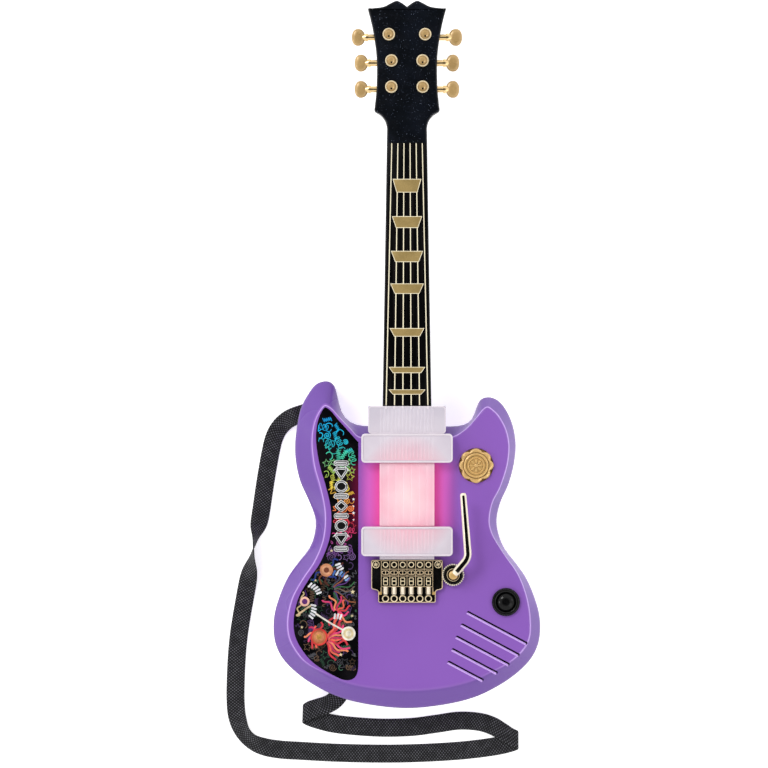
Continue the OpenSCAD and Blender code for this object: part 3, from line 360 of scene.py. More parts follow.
# ---------------------------------------------------------------- finishes
def rgb(r: float, g: float, b: float) -> Colour:
    """A colour from 0-255 values, as the linear light that a shader takes."""
    v = np.array([r, g, b]) / 255
    return tuple(float(x) for x in np.where(v <= 0.04045, v / 12.92, ((v + 0.055) / 1.055) ** 2.4))


PURPLE = rgb(137, 92, 183)
PURPLE_LIGHT = rgb(141, 95, 187)
# The rim's slope: the same purple painted darker, as painted shade
RIM = rgb(111, 74, 161)
# Painted shade in the corner where the rim turns down into the side wall
TURN_PAINTED_SHADE = rgb(84, 58, 120)
# Painted highlight along the rim's moulded edge and the slots' lower lips
EDGE_PAINTED_HIGHLIGHT = rgb(205, 170, 240)
# Painted pink glow of the lit strip, by distance from the centre line
GLOW_ROW = [(0.0, rgb(248, 98, 186)), (0.5, rgb(245, 96, 186)), (0.66, rgb(213, 102, 198)),
            (0.82, rgb(164, 86, 174)), (1.0, rgb(134, 90, 179))]
# Painted glow of the lamp in the frosted covers, by distance from it
LAMP_GLOW_ROW = [(0.0, rgb(240, 206, 210)), (0.13, rgb(239, 196, 204)), (0.32, rgb(236, 180, 195)),
             (0.48, rgb(224, 186, 199)), (0.64, rgb(214, 204, 215)), (1.0, rgb(199, 192, 205))]


class Paint:
    """One material's node tree, with short calls for the nodes that a pattern needs."""

    def __init__(self, name: str, **sockets: object) -> None:
        """Starts a material.

        Args:
            name: The material's name.
            sockets: Values for the shader's own sockets, with _ for a space.
        """
        self.material = bpy.data.materials.new(name)
        self.material.use_nodes = True
        self.tree = self.material.node_tree
        self.shader = self.tree.nodes["Principled BSDF"]
        for key, value in sockets.items():
            socket = self.shader.inputs[key.replace("_", " ")]
            socket.default_value = (*value, 1) if isinstance(value, tuple) else value

    def node(self, kind: str, **settings: object) -> bpy.types.Node:
        """A new node with its settings."""
        made = self.tree.nodes.new(kind)
        for key, value in settings.items():
            setattr(made, key, value)
        return made

    def feed(self, socket: bpy.types.NodeSocket, value: object) -> None:
        """Links a socket to another, or writes a number or colour into it."""
        if isinstance(value, bpy.types.NodeSocket):
            self.tree.links.new(value, socket)
        elif isinstance(value, tuple) and len(value) == 3 and socket.type == "RGBA":
            socket.default_value = (*value, 1)
        else:
            socket.default_value = value

    def place(self) -> bpy.types.NodeSocket:
        """Where a point is on the guitar."""
        return self.node("ShaderNodeTexCoord").outputs["Object"]

    def axes(self) -> tuple:
        """The x, y and z of a point, in metres."""
        split = self.node("ShaderNodeSeparateXYZ")
        self.feed(split.inputs[0], self.place())
        return tuple(split.outputs)

    def sums(self, operation: str, a: object, b: object = 0.0) -> bpy.types.NodeSocket:
        """A maths node."""
        made = self.node("ShaderNodeMath", operation=operation)
        self.feed(made.inputs[0], a)
        self.feed(made.inputs[1], b)
        return made.outputs[0]

    def times(self, *values: object) -> bpy.types.NodeSocket:
        """The product of all the values, from the first to the last."""
        return reduce(lambda a, b: self.sums("MULTIPLY", a, b), values)

    def attribute(self, name: str, output: str = "Fac") -> bpy.types.NodeSocket:
        """A point attribute of the mesh."""
        return self.node("ShaderNodeAttribute", attribute_name=name).outputs[output]

    def cells(self, scale: float) -> bpy.types.Node:
        """Voronoi cells on the guitar's own axes, scale of them to a metre."""
        made = self.node("ShaderNodeTexVoronoi")
        self.feed(made.inputs["Vector"], self.place())
        made.inputs["Scale"].default_value = scale
        return made

    def span(self, value: object, low: float, high: float, a: float = 0.0, b: float = 1.0) -> bpy.types.NodeSocket:
        """value carried from low..high to a..b on a smooth step."""
        made = self.node("ShaderNodeMapRange", interpolation_type="SMOOTHSTEP")
        for socket, given in zip(made.inputs, (value, low, high, a, b)):
            self.feed(socket, given)
        return made.outputs[0]

    def noise(self, scale: float, detail: float = 3, stretch: Colour | None = None) -> bpy.types.NodeSocket:
        """Cloudy noise on the guitar's own axes, stretched if asked."""
        made = self.node("ShaderNodeTexNoise")
        vector = self.place()
        if stretch is not None:
            mapping = self.node("ShaderNodeMapping")
            self.feed(mapping.inputs["Vector"], vector)
            mapping.inputs["Scale"].default_value = stretch
            vector = mapping.outputs[0]
        self.feed(made.inputs["Vector"], vector)
        made.inputs["Scale"].default_value = scale
        made.inputs["Detail"].default_value = detail
        return made.outputs[0]

    def mix(self, share: object, a: object, b: object) -> bpy.types.NodeSocket:
        """Colour a turning into b as share goes from 0 to 1."""
        made = self.node("ShaderNodeMix", data_type="RGBA")
        for index, given in ((0, share), (6, a), (7, b)):
            self.feed(made.inputs[index], given)
        return made.outputs[2]

    def clouded(self, cloud: object, a: object, b: object, low: float = 0.3,
                high: float = 0.7) -> bpy.types.NodeSocket:
        """Colour a turning into b as the cloud rises from low to high."""
        return self.mix(self.span(cloud, low, high), a, b)

    def gloss(self, cloud: object, low: float, high: float) -> None:
        """Lets the roughness wander from low to high with the cloud."""
        self.on("Roughness", self.span(cloud, 0.3, 0.7, low, high))

    def ramp(self, value: object, stops: list) -> bpy.types.NodeSocket:
        """A row of colours along value: stops are (place, colour)."""
        made = self.node("ShaderNodeValToRGB")
        self.feed(made.inputs[0], value)
        row = made.color_ramp.elements
        while len(row) < len(stops):
            row.new(0.5)
        for spot, (at, colour) in zip(row, stops):
            spot.position = at
            spot.color = (*colour, 1)
        return made.outputs[0]

    def bump(self, height: bpy.types.NodeSocket, depth: float, strength: float = 1.0) -> None:
        """Raises the surface by height times depth, in millimetres."""
        made = self.node("ShaderNodeBump")
        made.inputs["Strength"].default_value = strength
        made.inputs["Distance"].default_value = depth * MM
        self.feed(made.inputs["Height"], height)
        self.feed(self.shader.inputs["Normal"], made.outputs[0])

    def on(self, socket: str, value: bpy.types.NodeSocket) -> None:
        """Links a pattern to one of the shader's sockets."""
        self.feed(self.shader.inputs[socket], value)


class Form(Enum):
    """How a plain moulded or metal finish is patterned."""

    GRAIN = "fine even grain"
    BRUSHED = "lines drawn along the length"
    SPECKLED = "a fine metallic speckle"


@dataclass(frozen=True)
class Stock:
    """A finish for parts of one material: a colour that varies a little, grain and a worn gloss."""

    name: str
    colour: Colour
    rough: float = 0.4
    metal: float = 0.0
    coat: float = 0.0
    form: Form = Form.GRAIN
    spread: float = 0.12
    shine: float = 0.5
    grain: float = 900.0
    depth: float = 0.02

    def made(self) -> bpy.types.Material:
        """Builds the material: noise moves the colour by spread, the roughness by a quarter, and the surface."""
        paint = Paint(self.name, Metallic=self.metal, Coat_Weight=self.coat, Coat_Roughness=0.12,
                      Specular_IOR_Level=self.shine)
        stretch = (0.08, 1.0, 1.0) if self.form is Form.BRUSHED else (1.0, 1.0, 1.0)
        fine = paint.noise(self.grain, 2, stretch)
        broad = paint.noise(60, 3)
        both = paint.sums("ADD", paint.times(fine, 0.5), paint.times(broad, 0.5))
        dark = tuple(c * (1 - self.spread) for c in self.colour)
        light = tuple(min(1.0, c * (1 + self.spread) + 0.004) for c in self.colour)
        share = paint.span(both, 0.35, 0.65)
        if self.form is Form.SPECKLED:
            share = paint.sums("MAXIMUM", share, paint.span(paint.cells(1400).outputs["Distance"], 0.35, 0.1))
        paint.on("Base Color", paint.mix(share, dark, light))
        paint.gloss(broad, self.rough * 0.85, self.rough * 1.15)
        paint.bump(fine, self.depth, 0.5)
        return paint.material


def body_purple(name: str, painted_light: bool) -> bpy.types.Material:
    """Glossy purple plastic. Where asked, the lit strip's light that shows through it is painted in as pink.

    The painted pink falls with the distance from the centre line, between the two pickups only.
    The rim's slope is painted a darker purple as painted shade, the point attribute "edge" paints a
    highlight on the moulded edge of the rim, and "turn" paints shade into the corner where the rim
    turns down into the side wall.
    """
    paint = Paint(name, Roughness=0.3, Specular_IOR_Level=0.27, Coat_Weight=0.22, Coat_Roughness=0.08)
    cloud = paint.noise(9, 2)
    base = paint.clouded(cloud, PURPLE, PURPLE_LIGHT)
    if painted_light:
        x, y, z = paint.axes()
        # Painted shade: below the face the sloped rim takes the darker RIM purple
        base = paint.mix(paint.span(z, 0.0436, 0.0425), base, RIM)
        # Painted shade: the "turn" attribute darkens the rim's outer corner
        base = paint.mix(paint.attribute("turn"), base, TURN_PAINTED_SHADE)
        # Painted highlight: the "edge" attribute lightens the rim's bead
        base = paint.mix(paint.attribute("edge"), base, EDGE_PAINTED_HIGHLIGHT)
        # Painted light: the lit strip's pink glow through the plastic, falling with distance from the centre line
        far = paint.sums("ABSOLUTE", x)
        tint = paint.ramp(paint.times(far, 20), GLOW_ROW)
        painted_glow_band = paint.times(paint.span(y, -0.158, -0.146), paint.span(y, -0.088, -0.098))
        share = paint.times(painted_glow_band, paint.span(far, 0.052, 0.034), paint.span(z, 0.0434, 0.0438))
        base = paint.mix(share, base, tint)
    paint.on("Base Color", base)
    paint.gloss(cloud, 0.26, 0.34)
    paint.bump(paint.noise(420, 2), 0.02, 0.35)
    return paint.material


def frosted(name: str, lit: float, ribs: float = 0.0) -> bpy.types.Material:
    """Milky translucent plastic over a lamp, its glow painted in: white at the lamp, then pink, then greyish
    white.

    The painted glow goes with the distance from the lamp, sqrt(x^2 + (0.8 (y + 124))^2) millimetres.

    Args:
        name: The material's name.
        lit: How much light of its own it gives: a painted glow on the covers and the strum plate, a real lamp on
            the lens.
        ribs: Pitch of the fine upright lines inside it, in millimetres, or 0 for none.
    """
    paint = Paint(name, Roughness=0.32, Coat_Weight=0.4, Coat_Roughness=0.1, Emission_Strength=lit)
    x, y, _ = paint.axes()
    down = paint.times(paint.sums("ADD", y, 0.124), 0.8)
    far = paint.sums("SQRT", paint.sums("ADD", paint.times(x, x), paint.times(down, down)))
    colour = paint.ramp(paint.times(far, 1 / 0.07), LAMP_GLOW_ROW)
    if ribs:
        wave = paint.sums("SINE", paint.times(x, 2 * math.pi / (ribs * MM)))
        colour = paint.mix(paint.span(wave, -0.9, 0.9, 0.0, 0.25), colour, rgb(226, 214, 224))
    cloud = paint.span(paint.noise(70, 3), 0.3, 0.7, 0.0, 0.1)
    colour = paint.mix(cloud, colour, rgb(255, 250, 252))
    paint.on("Base Color", colour)
    paint.on("Emission Color", colour)
    paint.bump(paint.noise(300, 2), 0.02, 0.3)
    return paint.material


def glitter_black(name: str) -> bpy.types.Material:
    """Near-black plastic with fine flecks: cells of noise, a few of which shine pale blue."""
    paint = Paint(name, Specular_IOR_Level=0.2, Coat_Weight=0.08, Coat_Roughness=0.1)
    spot = paint.cells(1050)
    chosen = paint.node("ShaderNodeSeparateColor")
    paint.feed(chosen.inputs[0], spot.outputs["Color"])
    rare = paint.sums("GREATER_THAN", chosen.outputs[0], 0.8)
    small = paint.span(spot.outputs["Distance"], 0.36, 0.14)
    on_face = paint.span(paint.axes()[2], 0.0490, 0.0494)
    fleck = paint.times(rare, small, on_face)
    cloud = paint.noise(45, 4)
    base = paint.clouded(cloud, rgb(7, 10, 15), rgb(14, 18, 26), 0.35, 0.7)
    bright = paint.mix(paint.sums("POWER", chosen.outputs[1], 3.0), rgb(36, 44, 58), rgb(118, 128, 146))
    paint.on("Base Color", paint.mix(fleck, base, bright))
    paint.gloss(paint.noise(120, 2), 0.2, 0.28)
    paint.bump(paint.noise(260, 3), 0.02, 0.3)
    return paint.material


def printed_black(name: str, lines: bool) -> bpy.types.Material:
    """Black printed film, with faint lines along the neck if asked, or a few faint clouds and a painted pink glow
    where the lit strip's light falls beside it.
    """
    paint = Paint(name, Specular_IOR_Level=0.11, Coat_Weight=0.02, Coat_Roughness=0.15)
    x, y, _ = paint.axes()
    if lines:
        grain = paint.noise(520, 3, (1.0, 0.012, 1.0))
        base = paint.clouded(grain, rgb(3, 3, 4), rgb(22, 19, 20), 0.48, 0.72)
    else:
        cloud = paint.noise(40, 4)
        base = paint.clouded(cloud, rgb(6, 6, 8), rgb(20, 18, 22), 0.4, 0.7)
        # Painted light: the lit strip's pink on the label's edge between the pickups
        painted_glow_band = paint.times(paint.span(y, -0.16, -0.146), paint.span(y, -0.09, -0.1))
        base = paint.mix(paint.times(painted_glow_band, paint.span(x, -0.054, -0.042), 0.8), base, rgb(96, 18, 52))
    paint.on("Base Color", base)
    paint.gloss(paint.noise(80, 2), 0.2, 0.28)
    paint.bump(paint.noise(700, 2), 0.01, 0.2)
    return paint.material


def inks(name: str) -> bpy.types.Material:
    """Printed ink whose colour is the point attribute "tint", a little uneven."""
    paint = Paint(name, Roughness=0.4, Specular_IOR_Level=0.2, Coat_Weight=0.05, Coat_Roughness=0.15)
    uneven = paint.span(paint.noise(260, 3), 0.35, 0.75, 0.0, 0.35)
    paint.on("Base Color", paint.mix(uneven, paint.attribute("tint", "Color"), rgb(26, 22, 30)))
    paint.bump(paint.noise(700, 2), 0.01, 0.4)
    return paint.material


def webbing(name: str) -> bpy.types.Material:
    """Black woven webbing with its raised threads painted grey, a painted sheen. Ribs run across it and warp
    threads along it, on the strap's own UV map.

    The UV map is in millimetres: u across the width and v along the length.
    """
    paint = Paint(name, Roughness=0.75, Specular_IOR_Level=0.25, Sheen_Weight=0.04, Sheen_Roughness=0.5)
    split = paint.node("ShaderNodeSeparateXYZ")
    paint.feed(split.inputs[0], paint.node("ShaderNodeUVMap", uv_map="UVMap").outputs[0])
    u, v = split.outputs[0], split.outputs[1]
    across = paint.sums("SINE", paint.times(u, math.pi / 1.6))
    half = paint.times(paint.sums("SIGN", across), 0.25)
    along = paint.sums("SINE", paint.times(paint.sums("ADD", paint.sums("DIVIDE", v, 2.6), half), 2 * math.pi))
    weave = paint.times(paint.sums("ABSOLUTE", across), paint.span(along, -0.1, 0.95))
    cloud = paint.noise(160, 3)
    # Painted sheen: the raised threads of the weave are painted grey
    light = paint.clouded(cloud, rgb(74, 74, 78), rgb(112, 112, 118))
    paint.on("Base Color", paint.mix(weave, rgb(9, 9, 11), light))
    fuzz = paint.sums("ADD", weave, paint.times(paint.noise(2600, 2), 0.35))
    paint.bump(fuzz, 0.35, 0.9)
    return paint.material


def gold(name: str, colour: Colour, rough: float) -> bpy.types.Material:
    """Vacuum-plated gold: metal with small clouds in its gloss and a warm and a pale tone."""
    paint = Paint(name, Metallic=1.0)
    cloud = paint.noise(220, 3)
    pale = tuple(min(1.0, c * 1.12 + 0.02) for c in colour)
    paint.on("Base Color", paint.clouded(cloud, colour, pale))
    paint.gloss(cloud, rough * 0.75, rough * 1.25)
    paint.bump(paint.noise(900, 2), 0.015, 0.5)
    return paint.material


def white_floor(name: str) -> bpy.types.Material:
    """A matte white table, lit a little from below so that shadows on it stay pale."""
    paint = Paint(name, Roughness=0.9, Emission_Color=(1.0, 1.0, 1.0), Emission_Strength=0.6)
    cloud = paint.noise(12, 3)
    paint.on("Base Color", paint.clouded(cloud, rgb(246, 246, 246), rgb(252, 252, 252)))
    paint.bump(paint.noise(300, 2), 0.02, 0.2)
    return paint.material


# The plain finishes, by the name that pieces ask for
STOCKS = {
    # Painted highlight on the loudspeaker slots' lower lips
    "painted lip highlight": Stock("painted highlight plastic", EDGE_PAINTED_HIGHLIGHT, 0.3, coat=0.4, spread=0.05),
    # Painted highlight on the covers' raised edges and the string nubs
    "cover edge": Stock("painted highlight cover edge", rgb(229, 220, 228), 0.2, coat=0.4, spread=0.03),
    "cover groove": Stock("shaded cover groove", rgb(204, 194, 206), 0.45, spread=0.05),
    "black": Stock("glossy black", rgb(5, 5, 6), 0.16, coat=0.05, spread=0.3, shine=0.22),
    "black print": Stock("black enamel", rgb(5, 4, 4), 0.22, spread=0.3, shine=0.15, depth=0.008),
    "cream gold": Stock("cream gold print", rgb(236, 217, 178), 0.38, 0.1, 0.2, spread=0.1),
    "bright gold": Stock("bright gold", rgb(246, 234, 210), 0.3, 0.15, 0.3, spread=0.06),
    "gold line": Stock("gold outline", rgb(232, 206, 166), 0.4, 0.1, 0.1, spread=0.12),
    "cream line": Stock("cream printed line", rgb(255, 241, 208), 0.4, spread=0.05),
    "gloss black": Stock("gloss black", rgb(3, 3, 4), 0.07, spread=0.3, shine=0.2, depth=0.004),
    "tooth highlight": Stock("painted highlight black", rgb(42, 42, 46), 0.35, spread=0.2, shine=0.35),
    # Painted highlight: the knurl's teeth a paler black than the bezel
    "gold shade": Stock("shaded gold", rgb(112, 76, 34), 0.5, 0.2, spread=0.15),
    "matte gold": Stock("matte gold paint", rgb(216, 177, 110), 0.36, 0.25, 0.25, Form.SPECKLED, 0.1),
    "knob gold": Stock("soft gold paint", rgb(186, 153, 99), 0.3, 0.2, 0.3, Form.SPECKLED, 0.08),
    "inlay": Stock("gold foil inlay", rgb(168, 143, 88), 0.42, 0.3, 0.1, Form.SPECKLED, 0.12),
    "steel": Stock("zinc-plated steel", rgb(190, 190, 194), 0.3, 1.0, spread=0.08),
    "silicone": Stock("silicone rubber", rgb(215, 214, 208), 0.6, spread=0.05),
    "board": Stock("circuit board", rgb(18, 92, 48), 0.4, coat=0.3, spread=0.15),
    "parts": Stock("electronic parts", rgb(38, 38, 42), 0.5, spread=0.2),
    "pressed steel": Stock("pressed steel", rgb(150, 150, 152), 0.38, 1.0, form=Form.BRUSHED),
    "cone": Stock("speaker paper", rgb(24, 23, 24), 0.85, spread=0.25, depth=0.08),
    "ferrite": Stock("ferrite", rgb(60, 60, 62), 0.7, spread=0.15, depth=0.05),
    "cell": Stock("battery sleeve", rgb(34, 36, 44), 0.3, coat=0.4, spread=0.1),
    "moulded black": Stock("moulded black", rgb(16, 16, 18), 0.5, spread=0.2, shine=0.25, depth=0.04),
    "wire": Stock("wire insulation", rgb(150, 20, 26), 0.4, coat=0.2),
}


class Finishes:
    """Every material of the guitar, each built once, by the name that pieces ask for."""

    def __init__(self) -> None:
        """Builds them all."""
        self.kept = {key: stock.made() for key, stock in STOCKS.items()}
        self.kept |= {
            "body": body_purple("purple shell", True),
            "purple": body_purple("purple moulding", False),
            "frosted": frosted("frosted cover", 0.02),
            "ribbed": frosted("frosted ribbed cover", 0.02, 3.2),
            "strip": frosted("frosted strum plate", 0.12),
            "strip rail": frosted("frosted strum plate edge", 0.2),
            "headstock": glitter_black("glittered black"),
            "fretboard": printed_black("fretboard print", True),
            "label": printed_black("label ground", False),
            "inks": inks("label inks"),
            "plate": gold("plated gold", rgb(236, 205, 150), 0.2),
            "led": frosted("lamp lens", 1.2),
            "webbing": webbing("woven webbing"),
            "floor": white_floor("matte white floor"),
        }

    def dress(self, piece: bpy.types.Object, finish: str) -> bpy.types.Object:
        """Gives a piece one of the finishes."""
        piece.data.materials.clear()
        piece.data.materials.append(self.kept[finish])
        return piece


FINISH = Finishes()


def place(name: str, shape: Shape | list, finish: str, body: str = "guitar",
          instead_of: tuple = (), sharp: float = 35) -> bpy.types.Object:
    """Makes a piece, dresses it and lets it ride on its body.

    Args:
        name: The piece's name.
        shape: Its shape in millimetres, or a list of shapes that become one piece.
        finish: The name of its finish.
        body: The CAD body that it moves with.
        instead_of: The CAD nodes that it stands for.
        sharp: The angle past which an edge stays sharp.

    Returns:
        The piece.
    """
    piece = put(name, joined(shape) if isinstance(shape, list) else shape, sharp)
    return settle(piece, finish, body, instead_of)


def settle(piece: bpy.types.Object, finish: str, body: str = "guitar",
           instead_of: tuple = ()) -> bpy.types.Object:
    """Dresses a finished piece and ties it to the frame, as place() does."""
    FINISH.dress(piece, finish)
    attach(piece, body)
    if instead_of:
        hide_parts(*instead_of)
    log.info("%s: %d faces, on %s", piece.name, len(piece.data.polygons), body)
    return piece


# ---------------------------------------------------------------- studio
@dataclass
class Studio:
    """Camera, floor and soft light. The camera looks straight down from far off."""

    view_width: float = 672.2
    centre: tuple[float, float] = (-20.1, -25.1)
    lens: float = 200.0
    sensor: float = 36.0
    plane_z: float = FACE_Z
    far_clip: float = 60.0
    floor_half: float = 4000.0
    # Each lamp: its name, place and size in metres, and power in watts
    lamps: tuple = (("key", (-1.7, 1.7, 2.4), 1.2, 34), ("fill", (1.9, -1.4, 2.2), 1.4, 6),
                    ("left strip", (-2.3, -0.4, 1.5), 0.7, 7.8), ("right strip", (2.3, 0.5, 1.5), 0.7, 2.5))

    def build(self) -> None:
        """Makes the camera, the floor and the lights."""
        scene = bpy.context.scene
        scene.view_settings.view_transform = "Standard"
        camera = bpy.data.objects.new("camera", bpy.data.cameras.new("camera"))
        camera.data.lens = self.lens
        camera.data.sensor_width = self.sensor
        camera.data.clip_end = self.far_clip
        away = self.view_width * self.lens / self.sensor + self.plane_z
        camera.location = (self.centre[0] * MM, self.centre[1] * MM, away * MM)
        scene.collection.objects.link(camera)
        scene.camera = camera
        half = self.floor_half
        floor = put("floor", stack(box(-half, half, -half, half), [(0, -30), (0, -0.05)]))
        FINISH.dress(floor, "floor")
        world = bpy.data.worlds.new("studio air")
        scene.world = world
        world.use_nodes = True
        tree = world.node_tree
        sky = tree.nodes["Background"]
        sky.inputs["Color"].default_value = (1, 1, 1, 1)
        split = tree.nodes.new("ShaderNodeSeparateXYZ")
        tree.links.new(tree.nodes.new("ShaderNodeTexCoord").outputs["Generated"], split.inputs[0])
        tent = tree.nodes.new("ShaderNodeMapRange")
        tent.interpolation_type = "SMOOTHSTEP"
        for socket, given in zip(list(tent.inputs)[1:5], (0.78, 0.95, 1.05, 0.06)):
            socket.default_value = given
        tree.links.new(split.outputs["Z"], tent.inputs[0])
        tree.links.new(tent.outputs[0], sky.inputs["Strength"])
        for lamp in self.lamps:
            self.lamp(*lamp)

    def lamp(self, name: str, at: tuple, size: float, power: float) -> None:
        """A square soft box of that size in metres, aimed at the guitar."""
        lamp = bpy.data.objects.new(name, bpy.data.lights.new(name, "AREA"))
        lamp.data.size = size
        lamp.data.energy = power
        lamp.location = at
        lamp.rotation_euler = (-lamp.location).to_track_quat("-Z", "Y").to_euler()
        bpy.context.scene.collection.objects.link(lamp)


# ---------------------------------------------------------------- strap
@dataclass
class Strap:
    """The shoulder strap: one length of webbing laid loosely round the body's left side."""

    width: float = 16.0
    thick: float = 1.2
    exit: tuple[float, float, float] = (-94.6, -52.2, 8.0)
    # Each row: centre x, y, z, bearing of the width, and its tilt out of level in degrees
    route: list = field(default_factory=lambda: [
        (-74, -46, 8, 108, 0), (-84, -48.8, 8, 108, 0), (-93, -51.5, 8, 109, 0), (-99, -53.6, 7.8, 111, 0),
        (-104.5, -56.3, 5.2, 119, 3), (-109.5, -60.3, 2.2, 132, 2), (-114, -65.8, 0.9, 144, 0),
        (-117.6, -73.5, 0.7, 158, 0), (-120.2, -84, 0.7, 166, 0), (-122.8, -98, 0.7, 169, 0),
        (-125.3, -113, 0.7, 171, 0), (-127.5, -128, 0.7, 172, 0), (-129.4, -141, 1.9, 171, 8),
        (-131.2, -150.5, 4.8, 169, 30), (-133.2, -160, 7.9, 169, 68), (-135.2, -170, 8.4, 169, 90),
        (-137, -180, 7.9, 169, 112), (-138.8, -190, 5.2, 169, 146), (-140.8, -201, 1.9, 168, 172),
        (-143.2, -214, 0.7, 168, 180), (-146, -230, 0.7, 169, 180), (-148.6, -247, 0.7, 172, 180),
        (-150.4, -266, 0.7, 175, 180), (-151.4, -288, 0.7, 178, 180), (-151.5, -306, 0.8, 182, 179),
        (-150, -320, 2.2, 188, 170), (-145.4, -332.4, 4.8, 213, 150), (-137.5, -341, 4.8, 238, 150),
        (-126.5, -346, 2.6, 256, 167), (-112, -348.7, 1, 265, 178), (-92, -350, 0.7, 268, 180),
        (-66, -351.4, 0.7, 268, 180), (-38, -352.2, 0.7, 269, 180), (-8, -352.3, 0.7, 270, 180),
        (20, -351.4, 0.7, 272, 180), (46, -349.8, 0.7, 275, 180), (68, -347.4, 0.7, 277, 180),
        (84, -344.8, 0.8, 277, 180), (93.5, -342.4, 1, 274, 180), (97.4, -341, 1.6, 272, 180),
        (98.4, -340.2, 2.8, 270, 180), (97, -339.2, 3.8, 268, 180), (93, -337.4, 4, 266, 180),
        (85.5, -333, 3.2, 258, 180), (76, -327.8, 1.6, 252, 180), (64, -324.2, 0.8, 260, 180),
        (46, -323.2, 0.7, 275, 180), (26, -326, 0.7, 279, 180), (4, -328.8, 0.7, 275, 180),
        (-22, -329.4, 0.7, 269, 180), (-46, -328, 0.7, 266, 180), (-66, -325.6, 0.7, 263, 180),
        (-80, -322, 0.8, 262, 180), (-87.5, -319.4, 1, 264, 180), (-90.8, -317.8, 1.7, 266, 180),
        (-91.7, -316.8, 2.9, 268, 180), (-90.4, -315.8, 3.9, 272, 180), (-86, -313.6, 4.2, 278, 180),
        (-79, -311.4, 4.6, 282, 180), (-71.5, -309, 5.6, 300, 180), (-65, -305.4, 7, 318, 180),
        (-60.6, -300.6, 8, 331, 180), (-57, -294, 8, 336, 180), (-53.6, -286, 8, 336, 180)])

    def build(self) -> None:
        """Carries the webbing's section along the route.

        The route is a Catmull-Rom curve through the rows. The section is a flat bar with
        rounded selvedges: its width points along the bearing and tilt of each row.
        """
        rows = smooth_path(np.array(self.route), 6)
        path, turn, tilt = rows[:, :3], np.radians(rows[:, 3]), np.radians(rows[:, 4])
        across = np.column_stack([np.cos(turn) * np.cos(tilt), np.sin(turn) * np.cos(tilt), np.sin(tilt)])
        up = cross_product(headings(path), across)
        side = np.linspace(-1, 1, 13)
        swell = np.where(np.abs(side) > 0.99, 0.25, np.where(np.abs(side) > 0.8, 0.5, 0.42))
        u = np.concatenate([side, side[::-1]])
        v = np.concatenate([swell, -swell[::-1]])
        rings = (path[:, None] + across[:, None] * (u * self.width / 2)[None, :, None]
                 + up[:, None] * (v * self.thick)[None, :, None])
        shape = grid(rings)
        along = np.concatenate([[0], np.cumsum(np.linalg.norm(np.diff(path, axis=0), axis=1))])
        shape.uv = np.stack(np.broadcast_arrays(u[None, :] * self.width / 2, along[:, None]), -1).reshape(-1, 2)
        piece = place("shoulder_strap", shape, "webbing", instead_of=("strap",), sharp=80)


# ---------------------------------------------------------------- body
@dataclass
class Outline:
    """The body's outline, as in the CAD: points on the side wall and on the rim's inner edge."""

    steps: int = 8
    # Each station: x and y on the side wall, then x and y on the rim's inner edge
    stations: list = field(default_factory=lambda: [
        (-20, -62, -20, -72), (-38, -62, -40, -72.5), (-50, -58.5, -50, -66), (-57.5, -49.5, -59, -57),
        (-61, -36, -65.5, -49), (-64, -26.5, -69, -46), (-70.5, -22.6, -71.8, -45),
        (-80, -25.5, -74.5, -48), (-88, -36, -77.5, -54.5), (-93.5, -47.5, -79.4, -62),
        (-96.5, -62, -80.2, -72), (-98.2, -78, -79.2, -84), (-97.4, -94, -76.5, -98),
        (-93.5, -111, -71.8, -114), (-85.5, -129, -68, -130), (-80.4, -144, -66.8, -143),
        (-81.4, -158, -68, -158), (-86, -170, -71.5, -170), (-94.5, -181, -77.5, -183),
        (-104.5, -195, -86.5, -196), (-112.3, -213, -95.5, -212), (-116.8, -231, -99.7, -230),
        (-116.2, -250, -98.5, -246), (-110, -265, -91, -260), (-98, -278, -80.5, -271),
        (-81, -290, -64, -281), (-59, -300.5, -50, -286.5), (-32, -307, -28, -290.5), (0, -310, 0, -292.5),
        (32, -307, 29, -290.5), (59, -300.5, 54, -285), (81, -290, 73, -277), (98, -278, 90, -268),
        (110, -265, 101.5, -257.5), (116.2, -250, 107, -246), (116.8, -231, 107.4, -229),
        (112.3, -213, 104, -210), (104.5, -195, 97, -192), (94.5, -181, 87.5, -178), (86, -170, 79.5, -166),
        (80.6, -157, 73.7, -155), (78.9, -144, 71.6, -144), (82.2, -129, 74.3, -129),
        (89.3, -113, 81.3, -115), (94, -95.5, 87.3, -96), (95.6, -78, 88.9, -79), (93, -61.5, 86.3, -65.5),
        (87.2, -48, 80.3, -54), (80, -39.5, 74.6, -48), (72, -36.7, 70.4, -45.6), (65, -39, 66.2, -48.2),
        (61.3, -46.5, 61.5, -54), (57.5, -56, 55.5, -61), (50.5, -61, 49.3, -66.5), (38, -62.5, 39, -72),
        (20, -62, 20, -72)])

    def __post_init__(self) -> None:
        """Splits the smoothed stations, which go anticlockwise, into the wall, the edge and the way in."""
        rows = smooth_path(np.array(self.stations, float), self.steps, closed=True)
        self.wall, self.edge = rows[:, :2], rows[:, 2:]
        reach = self.edge - self.wall
        self.reach = np.linalg.norm(reach, axis=1)
        self.inward = reach / self.reach[:, None]

    def level(self, depth: float | np.ndarray, share: float | np.ndarray = 0.0) -> np.ndarray:
        """The curve share of the way from the wall to the edge, and depth further in."""
        share, depth = (np.broadcast_to(v, len(self.wall))[:, None] for v in (share, depth))
        return self.wall * (1 - share) + self.edge * share + self.inward * depth


